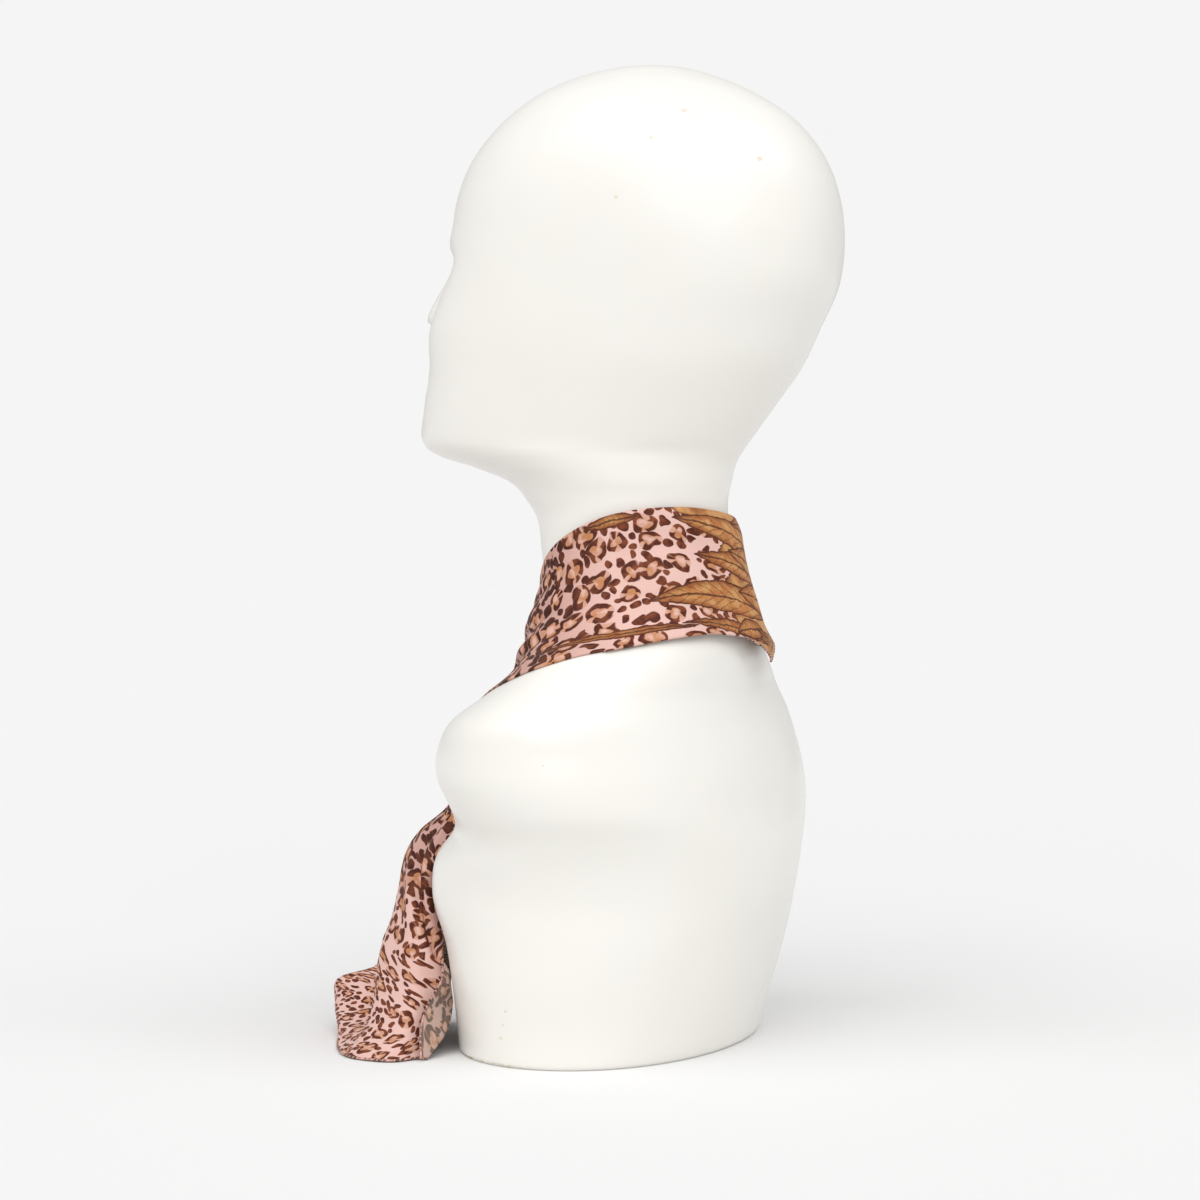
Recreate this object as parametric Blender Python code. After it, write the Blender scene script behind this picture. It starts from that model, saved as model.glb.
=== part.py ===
"""A foulard hung round the neck of a smooth display bust with no limbs.

The scarf is a square folded on the bias into a band. The band lies round the neck and over the
collarbones, and its two ends fall over the chest to the surface that the bust stands on.
Lengths are in metres and +Z is up. The bust faces -Y, its left side is +X, and the origin is the
middle of its base.
"""

import math

import bmesh
import bpy
import numpy as np

CLOTH_WALL = 0.0012
SEAT = 0.0012
MOST_RISE = 0.0025
SEAM_GAP = 0.0003
LEAST_OFF = 0.0020
LOOK_BELOW = 0.03

# The form's level sections, from the base to the crown. Centre is how far forward the section's
# middle lies, and power is how square its outline is, with 2 for an ellipse.
FORM_COLUMNS = ("height", "centre", "half_depth", "half_width", "power")
FORM_SECTIONS = (
    (0.0000, -0.0015, 0.0770, 0.1145, 2.1),
    (0.0210, -0.0035, 0.0812, 0.1170, 2.1),
    (0.0450, -0.0063, 0.0858, 0.1210, 2.1),
    (0.0680, -0.0099, 0.0882, 0.1230, 2.1),
    (0.0910, -0.0120, 0.0922, 0.1250, 2.0),
    (0.1100, -0.0129, 0.0937, 0.1300, 2.0),
    (0.1260, -0.0170, 0.0896, 0.1370, 2.0),
    (0.1400, -0.0158, 0.0875, 0.1460, 2.1),
    (0.1560, -0.0109, 0.0896, 0.1510, 2.1),
    (0.1720, -0.0089, 0.0867, 0.1510, 2.1),
    (0.1880, -0.0106, 0.0783, 0.1490, 2.1),
    (0.2020, -0.0174, 0.0671, 0.1365, 2.0),
    (0.2140, -0.0236, 0.0600, 0.1180, 2.0),
    (0.2280, -0.0250, 0.0580, 0.0950, 2.0),
    (0.2420, -0.0220, 0.0560, 0.0740, 2.0),
    (0.2600, -0.0200, 0.0540, 0.0600, 2.0),
    (0.2820, -0.0170, 0.0550, 0.0520, 2.0),
    (0.3000, -0.0149, 0.0561, 0.0500, 2.0),
    (0.3120, -0.0110, 0.0600, 0.0510, 2.0),
    (0.3220, -0.0068, 0.0663, 0.0540, 2.0),
    (0.3310, 0.0042, 0.0800, 0.0570, 2.0),
    (0.3380, 0.0137, 0.0938, 0.0590, 2.0),
    (0.3460, 0.0152, 0.1002, 0.0600, 2.2),
    (0.3640, 0.0083, 0.1064, 0.0640, 2.3),
    (0.3860, -0.0026, 0.1112, 0.0690, 2.4),
    (0.4080, -0.0089, 0.1159, 0.0730, 2.4),
    (0.4320, -0.0179, 0.1179, 0.0760, 2.4),
    (0.4580, -0.0227, 0.1167, 0.0780, 2.3),
    (0.4840, -0.0228, 0.1139, 0.0770, 2.2),
    (0.5060, -0.0223, 0.1057, 0.0720, 2.1),
    (0.5250, -0.0216, 0.0910, 0.0630, 2.0),
    (0.5400, -0.0204, 0.0705, 0.0510, 2.0),
    (0.5505, -0.0195, 0.0492, 0.0350, 2.0),
    (0.5572, -0.0220, 0.0250, 0.0190, 2.0),
    (0.5597, -0.0220, 0.0000, 0.0000, 2.0),
)

# Soft rises and hollows of the front, pushed out from the sections. A side above zero means a pair.
FEATURE_COLUMNS = ("height", "side", "push", "reach_up", "reach_down", "half_width")
FORM_FEATURES = {
    "bust": (0.090, 0.064, 0.013, 0.030, 0.030, 0.036),
    "brow": (0.459, 0.026, 0.0020, 0.008, 0.007, 0.020),
    "eye_hollow": (0.446, 0.031, -0.0065, 0.010, 0.011, 0.015),
    "eyelid": (0.444, 0.031, 0.0030, 0.006, 0.006, 0.010),
    "nose_bridge": (0.440, 0.0, 0.0080, 0.018, 0.024, 0.008),
    "nose_tip": (0.419, 0.0, 0.0125, 0.017, 0.006, 0.0085),
    "nostril": (0.414, 0.010, 0.0045, 0.006, 0.004, 0.0055),
    "cheek": (0.408, 0.046, 0.0020, 0.016, 0.020, 0.018),
    "upper_lip": (0.384, 0.0, 0.0055, 0.006, 0.0035, 0.019),
    "lower_lip": (0.376, 0.0, 0.0055, 0.0035, 0.006, 0.016),
    "under_lip": (0.365, 0.0, -0.0025, 0.005, 0.006, 0.016),
    "chin": (0.351, 0.0, 0.0050, 0.010, 0.010, 0.018),
}
FORM_AROUND = 60
FORM_STEPS_BETWEEN = 2
FACE_CROWDING = 0.55


def smooth_rows(rows, steps):
    """Rows of a table joined by a Catmull-Rom curve, with steps points to each stretch."""
    knots = np.array(rows, float)
    ends = np.vstack([2 * knots[0] - knots[1], knots, 2 * knots[-1] - knots[-2]])
    made = []
    for before, start, stop, after in zip(ends, ends[1:], ends[2:], ends[3:]):
        for t in np.arange(steps) / steps:
            made.append(
                0.5
                * (
                    2 * start
                    + (stop - before) * t
                    + (2 * before - 5 * start + 4 * stop - after) * t**2
                    + (3 * start - before - 3 * stop + after) * t**3
                )
            )
    made.append(knots[-1])
    return np.array(made)


FINE_SECTIONS = smooth_rows(FORM_SECTIONS, 24)


def bell(distance, reach):
    return np.exp(-((distance / reach) ** 2))


def form_radius(turn, section):
    """How far the form's surface lies from its section's centre. Turn is 0 at the front and grows
    towards the left side."""
    height, _, half_depth, half_width, power = section
    if half_width < 1e-6:
        return np.zeros_like(turn)
    along = np.abs(np.cos(turn) / half_depth) ** power
    across = np.abs(np.sin(turn) / half_width) ** power
    radius = (along + across) ** (-1 / power)
    side = radius * np.sin(turn)
    front = np.clip(np.cos(turn), 0, 1)
    for at, beside, push, up, down, width in FORM_FEATURES.values():
        rise = push * bell(height - at, up if height > at else down)
        spots = (side - beside, side + beside) if beside else (side,)
        for spot in spots:
            radius = radius + rise * bell(spot, width) * np.minimum(1, 3 * front)
    return radius


def section_at(height):
    """The form's section at a height, read from the smoothed table."""
    columns = FINE_SECTIONS.T
    return np.array([np.interp(height, columns[0], column) for column in columns])


def form_point(turn, height, offset=0.0):
    """A point on the form, moved out from its surface by offset in the section's plane."""
    section = section_at(height)
    radius = form_radius(np.array(turn), section) + offset
    return np.array([radius * math.sin(turn), -section[1] - radius * math.cos(turn), height])


def clear_of_form(point, gap):
    """The point itself, or where it would lie in the form, the nearest point gap outside it."""
    section = section_at(point[2])
    away = np.array([point[0], point[1] + section[1]])
    distance = math.hypot(*away)
    turn = math.atan2(away[0], -away[1])
    least = float(form_radius(np.array(turn), section)) + gap
    if distance >= least:
        return point
    spread = away / distance * least
    return np.array([spread[0], spread[1] - section[1], point[2]])


def material(name, colour, roughness):
    made = bpy.data.materials.new(name)
    made.use_nodes = True
    shader = made.node_tree.nodes["Principled BSDF"]
    shader.inputs["Base Color"].default_value = (*colour, 1)
    shader.inputs["Roughness"].default_value = roughness
    shader.inputs["Metallic"].default_value = 0
    return made


def add_object(name, points, faces, finish):
    mesh = bpy.data.meshes.new(name)
    mesh.from_pydata([tuple(p) for p in points], [], faces)
    mesh.materials.append(finish)
    mesh.shade_smooth()
    made = bpy.data.objects.new(name, mesh)
    bpy.context.scene.collection.objects.link(made)
    return made


def build_form():
    """The bust as one closed skin of rings, with a flat base and a point at the crown."""
    even = np.linspace(-math.pi, math.pi, FORM_AROUND, endpoint=False)
    turns = even - FACE_CROWDING * np.sin(even)
    sections = smooth_rows(FORM_SECTIONS, FORM_STEPS_BETWEEN)[:-1]
    points = []
    for section in sections:
        radii = form_radius(turns, section)
        for turn, radius in zip(turns, radii):
            across = radius * math.sin(turn)
            along = -section[1] - radius * math.cos(turn)
            points.append((across, along, section[0]))
    crown = len(points)
    points.append((0, -FORM_SECTIONS[-1][1], FORM_SECTIONS[-1][0]))
    faces = [tuple(range(FORM_AROUND))[::-1]]
    for ring in range(len(sections) - 1):
        for i in range(FORM_AROUND):
            j = (i + 1) % FORM_AROUND
            low, high = ring * FORM_AROUND, (ring + 1) * FORM_AROUND
            faces.append((low + i, low + j, high + j, high + i))
    last = crown - FORM_AROUND
    for i in range(FORM_AROUND):
        faces.append((last + i, last + (i + 1) % FORM_AROUND, crown))
    return add_object("bust_form", points, faces, material("form_white", (0.9, 0.88, 0.85), 0.3))


# The band's two edges, from the left of the knot round the nape to the right of it. Turns are in
# degrees from the front towards the left, and offsets are how far the cloth stands off the form.
BAND_COLUMNS = ("top_turn", "top_height", "top_off", "low_turn", "low_height", "low_off")
BAND_EDGES = (
    (13, 0.1800, 0.0035, 25, 0.1600, 0.0030),
    (13, 0.2060, 0.0030, 31, 0.1700, 0.0025),
    (18, 0.2330, 0.0025, 35, 0.1800, 0.0022),
    (29, 0.2570, 0.0020, 47, 0.1965, 0.0022),
    (45, 0.2730, 0.0032, 66, 0.2075, 0.0026),
    (60, 0.2840, 0.0050, 79, 0.2168, 0.0028),
    (75, 0.2922, 0.0060, 92, 0.2250, 0.0028),
    (90, 0.2984, 0.0060, 105, 0.2292, 0.0032),
    (105, 0.3025, 0.0060, 119, 0.2328, 0.0040),
    (120, 0.3051, 0.0060, 133, 0.2350, 0.0055),
    (135, 0.3062, 0.0065, 148, 0.2360, 0.0062),
    (150, 0.3062, 0.0068, 162, 0.2348, 0.0072),
    (165, 0.3048, 0.0070, 172, 0.2332, 0.0090),
    (180, 0.3028, 0.0072, 183, 0.2283, 0.0110),
    (193, 0.3010, 0.0070, 194, 0.2216, 0.0106),
    (203, 0.3000, 0.0066, 200.5, 0.2186, 0.0088),
    (212, 0.2990, 0.0060, 207, 0.2222, 0.0084),
    (225, 0.2980, 0.0060, 219, 0.2285, 0.0080),
    (240, 0.2970, 0.0060, 234, 0.2265, 0.0060),
    (255, 0.2950, 0.0060, 248, 0.2245, 0.0035),
    (270, 0.2910, 0.0060, 262, 0.2215, 0.0028),
    (285, 0.2860, 0.0060, 275, 0.2170, 0.0028),
    (300, 0.2780, 0.0060, 287, 0.2105, 0.0040),
    (315, 0.2660, 0.0065, 299, 0.2015, 0.0060),
    (330, 0.2480, 0.0070, 311, 0.1900, 0.0060),
    (342, 0.2240, 0.0080, 323, 0.1780, 0.0060),
    (354, 0.2000, 0.0080, 338, 0.1680, 0.0060),
    (363, 0.1790, 0.0060, 353, 0.1600, 0.0050),
)
BAND_STEPS = 3
BAND_ACROSS = 15
# Soft folds along the band: where they lie across it, how deep and how wide, and where they begin,
# peak and end round the neck.
FOLD_COLUMNS = ("across", "drift", "depth", "half_width", "begin", "peak", "end")
BAND_FOLDS = (
    (0.42, 0.00, 0.0038, 0.28, 2, 46, 100),
    (0.62, 0.00, 0.0030, 0.26, 156, 198, 240),
    (0.30, 0.10, 0.0020, 0.10, 0, 24, 70),
    (0.62, -0.08, 0.0020, 0.11, 0, 22, 66),
    (0.46, 0.05, -0.0018, 0.09, 0, 30, 90),
    (0.82, 0.04, -0.0018, 0.08, 10, 50, 110),
    (0.55, 0.12, 0.0016, 0.13, 96, 140, 190),
    (0.78, -0.10, -0.0014, 0.12, 110, 160, 205),
    (0.34, 0.10, 0.0030, 0.11, 270, 338, 365),
    (0.66, -0.06, 0.0034, 0.10, 262, 332, 365),
    (0.50, 0.05, -0.0026, 0.09, 268, 335, 365),
    (0.24, 0.16, 0.0016, 0.12, 196, 240, 290),
)

# The left end falls to the table along a bearing left of straight ahead. Each row is a level of the
# cloth and holds, from the near hem round the outer fold to the far hem, (reach, aside, height).
END_BEARING = math.radians(26)
LEFT_END = {
    "knot": (
        (0.0850, -0.0080, 0.1490), (0.0860, -0.0080, 0.1490), (0.0890, -0.0085, 0.1490),
        (0.0920, -0.0110, 0.1490), (0.0940, -0.0150, 0.1490), (0.0945, -0.0200, 0.1490),
        (0.0940, -0.0230, 0.1490), (0.0930, -0.0260, 0.1490), (0.0900, -0.0285, 0.1490),
        (0.0870, -0.0290, 0.1490), (0.0845, -0.0290, 0.1490),
    ),
    "below_knot": (
        (0.0840, 0.0020, 0.1300), (0.0860, 0.0010, 0.1310), (0.0885, -0.0010, 0.1320),
        (0.0890, -0.0050, 0.1330), (0.0915, -0.0120, 0.1330), (0.0930, -0.0190, 0.1330),
        (0.0925, -0.0240, 0.1330), (0.0915, -0.0280, 0.1330), (0.0900, -0.0320, 0.1320),
        (0.0860, -0.0330, 0.1310), (0.0830, -0.0330, 0.1300),
    ),
    "shoulder": (
        (0.0900, -0.0020, 0.1130), (0.0908, 0.0020, 0.1140), (0.0948, 0.0030, 0.1150),
        (0.0998, 0.0010, 0.1160), (0.1058, -0.0060, 0.1160), (0.1108, -0.0150, 0.1160),
        (0.1106, -0.0200, 0.1160), (0.1088, -0.0240, 0.1160), (0.1028, -0.0300, 0.1150),
        (0.0948, -0.0320, 0.1140), (0.0900, -0.0330, 0.1130),
    ),
    "breast": (
        (0.0928, -0.0040, 0.0990), (0.0978, 0.0050, 0.1000), (0.1033, 0.0100, 0.1010),
        (0.1088, 0.0080, 0.1020), (0.1148, 0.0000, 0.1020), (0.1196, -0.0110, 0.1020),
        (0.1194, -0.0170, 0.1020), (0.1178, -0.0220, 0.1020), (0.1098, -0.0300, 0.1010),
        (0.0998, -0.0330, 0.1000), (0.0898, -0.0340, 0.0990),
    ),
    "under_breast": (
        (0.0954, -0.0030, 0.0820), (0.1004, 0.0080, 0.0830), (0.1064, 0.0140, 0.0840),
        (0.1124, 0.0125, 0.0850), (0.1184, 0.0040, 0.0850), (0.1229, -0.0080, 0.0850),
        (0.1224, -0.0150, 0.0850), (0.1209, -0.0200, 0.0850), (0.1124, -0.0290, 0.0840),
        (0.1014, -0.0330, 0.0830), (0.0914, -0.0340, 0.0820),
    ),
    "waist": (
        (0.0948, 0.0080, 0.0660), (0.0988, 0.0180, 0.0670), (0.1058, 0.0240, 0.0680),
        (0.1138, 0.0215, 0.0680), (0.1208, 0.0110, 0.0680), (0.1266, -0.0040, 0.0680),
        (0.1263, -0.0120, 0.0680), (0.1248, -0.0180, 0.0680), (0.1158, -0.0280, 0.0670),
        (0.1028, -0.0330, 0.0660), (0.0918, -0.0340, 0.0650),
    ),
    "flare": (
        (0.0954, 0.0300, 0.0510), (0.0959, 0.0330, 0.0510), (0.1034, 0.0340, 0.0520),
        (0.1134, 0.0310, 0.0530), (0.1234, 0.0180, 0.0530), (0.1319, 0.0000, 0.0530),
        (0.1319, -0.0080, 0.0530), (0.1304, -0.0150, 0.0530), (0.1194, -0.0270, 0.0520),
        (0.1054, -0.0330, 0.0510), (0.0924, -0.0350, 0.0500),
    ),
    "corner_top": (
        (0.0949, 0.0460, 0.0400), (0.0894, 0.0380, 0.0390), (0.0994, 0.0380, 0.0400),
        (0.1114, 0.0420, 0.0400), (0.1254, 0.0260, 0.0410), (0.1344, 0.0070, 0.0410),
        (0.1384, -0.0040, 0.0400), (0.1404, -0.0140, 0.0380), (0.1294, -0.0280, 0.0340),
        (0.1094, -0.0340, 0.0370), (0.0934, -0.0360, 0.0380),
    ),
    "toe": (
        (0.1020, 0.0620, 0.0280), (0.0890, 0.0440, 0.0260), (0.0990, 0.0500, 0.0270),
        (0.1120, 0.0570, 0.0270), (0.1260, 0.0450, 0.0280), (0.1310, 0.0270, 0.0270),
        (0.1440, 0.0080, 0.0305), (0.1480, -0.0190, 0.0335), (0.1450, -0.0360, 0.0200),
        (0.1150, -0.0400, 0.0210), (0.0950, -0.0380, 0.0250),
    ),
    "toe_low": (
        (0.1050, 0.0740, 0.0160), (0.0915, 0.0580, 0.0130), (0.1010, 0.0630, 0.0140),
        (0.1150, 0.0720, 0.0130), (0.1285, 0.0650, 0.0140), (0.1330, 0.0470, 0.0140),
        (0.1500, 0.0300, 0.0170), (0.1562, -0.0120, 0.0258), (0.1550, -0.0330, 0.0110),
        (0.1200, -0.0430, 0.0100), (0.0970, -0.0410, 0.0130),
    ),
    "table": (
        (0.1045, 0.0805, 0.0016), (0.1010, 0.0765, 0.0012), (0.1070, 0.0760, 0.0012),
        (0.1190, 0.0840, 0.0012), (0.1320, 0.0810, 0.0012), (0.1450, 0.0715, 0.0012),
        (0.1520, 0.0540, 0.0012), (0.1562, 0.0200, 0.0012), (0.1550, -0.0290, 0.0012),
        (0.1250, -0.0460, 0.0012), (0.0990, -0.0430, 0.0012),
    ),
}
RIGHT_END = {
    "knot": ((0.0020, 0.0050, 0.1480), (-0.0040, 0.0110, 0.1480), (-0.0110, 0.0050, 0.1480)),
    "below_knot": ((-0.0020, 0.0045, 0.1300), (-0.0120, 0.0120, 0.1310), (-0.0250, 0.0050, 0.1300)),
    "breast": ((-0.0040, 0.0045, 0.1050), (-0.0190, 0.0110, 0.1060), (-0.0380, 0.0045, 0.1050)),
    "under_breast": ((-0.0060, 0.0050, 0.0800), (-0.0240, 0.0110, 0.0800), (-0.0470, 0.0060, 0.0780)),
    "waist": ((-0.0120, 0.0080, 0.0560), (-0.0280, 0.0130, 0.0550), (-0.0480, 0.0100, 0.0520)),
    "corner": ((-0.0250, 0.0120, 0.0340), (-0.0310, 0.0135, 0.0330), (-0.0400, 0.0130, 0.0300)),
    "tip": ((-0.0340, 0.0145, 0.0190), (-0.0345, 0.0150, 0.0186), (-0.0355, 0.0145, 0.0184)),
}
KNOT_MIDDLE = (0.0165, 0.0895, 0.1630)
KNOT_HALF = (0.0190, 0.0105, 0.0145)
KNOT_AROUND = 28
KNOT_DOWN = 14


def smooth_grid(rows, down, across):
    """A table of points made finer both ways by Catmull-Rom curves."""
    table = np.array(rows, float)
    count = table.shape[2]
    finer = smooth_rows(table.reshape(len(table), -1), down).reshape(-1, table.shape[1], count)
    turned = finer.transpose(1, 0, 2)
    finer = smooth_rows(turned.reshape(len(turned), -1), across)
    return finer.reshape(-1, turned.shape[1], count).transpose(1, 0, 2)


def cloth_solid(name, grid, wall, finish):
    """A closed wall of even thickness about a grid of points, with a row of faces at each edge."""
    grid = np.array(grid)
    down = np.gradient(grid, axis=0)
    across = np.gradient(grid, axis=1)
    normal = np.cross(across, down)
    normal /= np.linalg.norm(normal, axis=2)[:, :, None]
    outer = (grid + normal * wall / 2).reshape(-1, 3)
    inner = (grid - normal * wall / 2).reshape(-1, 3)
    rows, columns = grid.shape[:2]
    total = rows * columns
    faces = []
    for i in range(rows - 1):
        for j in range(columns - 1):
            a, b = i * columns + j, i * columns + j + 1
            c, d = b + columns, a + columns
            faces.append((a, d, c, b))
            faces.append((a + total, b + total, c + total, d + total))
    rim = [(0, j) for j in range(columns)] + [(i, columns - 1) for i in range(1, rows)]
    rim += [(rows - 1, j) for j in range(columns - 2, -1, -1)]
    rim += [(i, 0) for i in range(rows - 2, 0, -1)]
    ids = [i * columns + j for i, j in rim]
    for here, after in zip(ids, ids[1:] + ids[:1]):
        faces.append((here, after, after + total, here + total))
    made = add_object(name, np.vstack([outer, inner]), faces, finish)
    mesh = bmesh.new()
    mesh.from_mesh(made.data)
    bmesh.ops.recalc_face_normals(mesh, faces=mesh.faces)
    mesh.to_mesh(made.data)
    mesh.free()
    return made


def fold_offset(across, turn):
    """How far the soft folds push the band out at a place across it and round the neck."""
    total = 0.0
    for at, drift, depth, width, begin, peak, end in BAND_FOLDS:
        if not begin < turn < end:
            continue
        rise = (turn - begin) / (peak - begin) if turn < peak else (end - turn) / (end - peak)
        swell = math.sin(min(1, rise) * math.pi / 2) ** 2
        middle = at + drift * (turn - peak) / (end - begin)
        total += depth * swell * float(bell(across - middle, width))
    return total


def clear_of_knot(point, gap):
    """The point pushed straight out of the knot's rounded body, where it would lie in it."""
    middle = np.array([KNOT_MIDDLE[0], -KNOT_MIDDLE[1], KNOT_MIDDLE[2]])
    half = np.array(KNOT_HALF) + gap
    away = (point - middle) / half
    size = float(np.sum(np.abs(away) ** 2.4) ** (1 / 2.4))
    if size >= 1:
        return point
    return middle + (point - middle) / size


def band_grid(steps, across):
    """Points of the band, from the left of the knot to the right and from its top edge down."""
    grid = []
    for row in smooth_rows(BAND_EDGES, steps):
        top_turn, top_height, top_off, low_turn, low_height, low_off = row
        line = []
        for share in np.linspace(0, 1, across):
            turn = top_turn + (low_turn - top_turn) * share
            height = top_height + (low_height - top_height) * share
            off = top_off + (low_off - top_off) * share
            off += fold_offset(share, turn)
            point = form_point(math.radians(turn), height, max(off, LEAST_OFF))
            line.append(point)
        grid.append(line)
    return np.array(grid)


def settled(point, least):
    """A point of a hanging end, kept off the form, off the knot and off the table."""
    point = clear_of_form(point, least)
    return np.array([point[0], point[1], max(point[2], SEAT)])


def hung_from(grid, knot):
    """The end's points with its top row raised to just under the knot, and the next row half way."""
    bpy.context.view_layer.update()
    for column in range(grid.shape[1]):
        start = grid[0, column].copy()
        lowest = start[2]
        for across in (-CLOTH_WALL, 0, CLOTH_WALL):
            for along in (-CLOTH_WALL, 0, CLOTH_WALL):
                below = (start[0] + across, start[1] + along, start[2] - LOOK_BELOW)
                hit, spot, _, _ = knot.ray_cast(below, (0, 0, 1))
                if hit and (lowest == start[2] or spot[2] < lowest):
                    lowest = spot[2]
        rise = min(lowest - SEAM_GAP - start[2], MOST_RISE)
        grid[0, column, 2] += rise
        grid[1, column, 2] += rise / 2
    return grid


def left_end_grid(down, across):
    made = []
    for line in smooth_grid(list(LEFT_END.values()), down, across):
        row = []
        for reach, aside, height in line:
            forward = reach * math.cos(END_BEARING) - aside * math.sin(END_BEARING)
            left = reach * math.sin(END_BEARING) + aside * math.cos(END_BEARING)
            row.append(settled(np.array([left, -forward, height]), SEAT))
        made.append(row)
    return np.array(made)


def right_end_grid(down, across):
    made = []
    for line in smooth_grid(list(RIGHT_END.values()), down, across):
        row = []
        for aside, off, height in line:
            section = section_at(height)
            inside = 1 - (abs(aside) / section[3]) ** section[4]
            forward = section[1] + section[2] * inside ** (1 / section[4]) + off
            row.append(settled(np.array([aside, -forward, height]), SEAT))
        made.append(row)
    return np.array(made)


def build_knot(finish):
    """The tied knot: a rounded lump with the band that wraps over it standing proud."""
    points = [(KNOT_MIDDLE[0], -KNOT_MIDDLE[1], KNOT_MIDDLE[2] + KNOT_HALF[2] * 0.93)]
    for i in range(1, KNOT_DOWN):
        tilt = math.pi * i / KNOT_DOWN
        for j in range(KNOT_AROUND):
            turn = 2 * math.pi * j / KNOT_AROUND
            away = np.array(
                [math.sin(tilt) * math.sin(turn), -math.sin(tilt) * math.cos(turn), math.cos(tilt)]
            )
            size = float(np.sum(np.abs(away) ** 2.4) ** (1 / 2.4))
            slant = away[0] * 0.94 + away[2] * 0.34
            proud = 0.93 + 0.07 * float(bell(slant, 0.42)) - 0.07 * float(bell(abs(slant) - 0.58, 0.12))
            spot = np.array(KNOT_HALF) * away / size * proud
            points.append((KNOT_MIDDLE[0] + spot[0], -KNOT_MIDDLE[1] + spot[1], KNOT_MIDDLE[2] + spot[2]))
    points.append((KNOT_MIDDLE[0], -KNOT_MIDDLE[1], KNOT_MIDDLE[2] - KNOT_HALF[2] * 0.93))
    last = len(points) - 1
    faces = []
    for j in range(KNOT_AROUND):
        after = (j + 1) % KNOT_AROUND
        faces.append((0, 1 + after, 1 + j))
        for i in range(KNOT_DOWN - 2):
            high, low = 1 + i * KNOT_AROUND, 1 + (i + 1) * KNOT_AROUND
            faces.append((high + j, high + after, low + after, low + j))
        base = 1 + (KNOT_DOWN - 2) * KNOT_AROUND
        faces.append((base + j, base + after, last))
    made = add_object("knot", points, faces, finish)
    mesh = bmesh.new()
    mesh.from_mesh(made.data)
    bmesh.ops.recalc_face_normals(mesh, faces=mesh.faces)
    mesh.to_mesh(made.data)
    mesh.free()
    return made


def main():
    for old in list(bpy.data.objects):
        bpy.data.objects.remove(old)
    build_form()
    twill = material("printed_twill", (0.55, 0.34, 0.3), 0.6)
    band = band_grid(BAND_STEPS, BAND_ACROSS)
    knot = build_knot(twill)
    for i in range(BAND_STEPS + 1):
        for end in (i, len(band) - 1 - i):
            band[end] = [clear_of_knot(p, CLOTH_WALL / 2 + SEAM_GAP) for p in band[end]]
    cloth_solid("neck_wrap", band, CLOTH_WALL, twill)
    cloth_solid("left_tail", hung_from(left_end_grid(3, 2), knot), CLOTH_WALL, twill)
    cloth_solid("right_tail", hung_from(right_end_grid(4, 5), knot), CLOTH_WALL, twill)


main()
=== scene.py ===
"""A printed foulard round the neck of a smooth white display bust, seen from behind its left side.

Lengths are in metres, apart from those in the tables of shapes, chips and leaves, which are in
millimetres. The bust faces -Y, its left side is +X and its base stands on z = 0.
"""

import math

import bmesh
import bpy
import numpy as np
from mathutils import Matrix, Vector


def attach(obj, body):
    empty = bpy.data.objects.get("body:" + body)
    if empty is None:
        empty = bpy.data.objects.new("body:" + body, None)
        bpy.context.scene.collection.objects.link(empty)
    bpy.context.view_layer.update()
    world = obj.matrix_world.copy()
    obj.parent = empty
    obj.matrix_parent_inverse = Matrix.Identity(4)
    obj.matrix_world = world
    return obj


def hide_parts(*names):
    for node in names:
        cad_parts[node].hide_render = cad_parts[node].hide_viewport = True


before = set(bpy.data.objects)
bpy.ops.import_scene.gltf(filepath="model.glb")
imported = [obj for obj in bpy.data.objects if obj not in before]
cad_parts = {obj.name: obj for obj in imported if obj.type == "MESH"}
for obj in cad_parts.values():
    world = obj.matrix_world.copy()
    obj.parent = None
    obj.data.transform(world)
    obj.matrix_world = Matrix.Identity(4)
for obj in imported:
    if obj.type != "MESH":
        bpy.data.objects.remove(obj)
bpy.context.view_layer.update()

MM = 0.001
# The bust's level sections, from the base to the crown: height, centre, half depth, half width and
# power. Centre is how far forward the section's middle lies, and power is how square its outline is.
FORM_SECTIONS = (
    (0, -1.5, 77, 114.5, 2.1),
    (21, -3.5, 81.2, 117, 2.1),
    (45, -6.3, 85.8, 121, 2.1),
    (68, -9.9, 88.2, 123, 2.1),
    (91, -12, 92.2, 125, 2),
    (110, -12.9, 93.7, 130, 2),
    (126, -17, 89.6, 137, 2),
    (140, -15.8, 87.5, 146, 2.1),
    (156, -10.9, 89.6, 151, 2.1),
    (172, -8.9, 86.7, 151, 2.1),
    (188, -10.6, 78.3, 149, 2.1),
    (202, -17.4, 67.1, 136.5, 2),
    (214, -23.6, 60, 118, 2),
    (228, -25, 58, 95, 2),
    (242, -22, 56, 74, 2),
    (260, -20, 54, 60, 2),
    (282, -17, 55, 52, 2),
    (300, -14.9, 56.1, 50, 2),
    (312, -11, 60, 51, 2),
    (322, -6.8, 66.3, 54, 2),
    (331, 4.2, 80, 57, 2),
    (338, 13.7, 93.8, 59, 2),
    (346, 15.2, 100.2, 60, 2.2),
    (364, 8.3, 106.4, 64, 2.3),
    (386, -2.6, 111.2, 69, 2.4),
    (408, -8.9, 115.9, 73, 2.4),
    (432, -17.9, 117.9, 76, 2.4),
    (458, -22.7, 116.7, 78, 2.3),
    (484, -22.8, 113.9, 77, 2.2),
    (506, -22.3, 105.7, 72, 2.1),
    (525, -21.6, 91, 63, 2),
    (540, -20.4, 70.5, 51, 2),
    (550.5, -19.5, 49.2, 35, 2),
    (557.2, -22, 25, 19, 2),
    (559.7, -22, 0, 0, 2),
)
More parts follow.
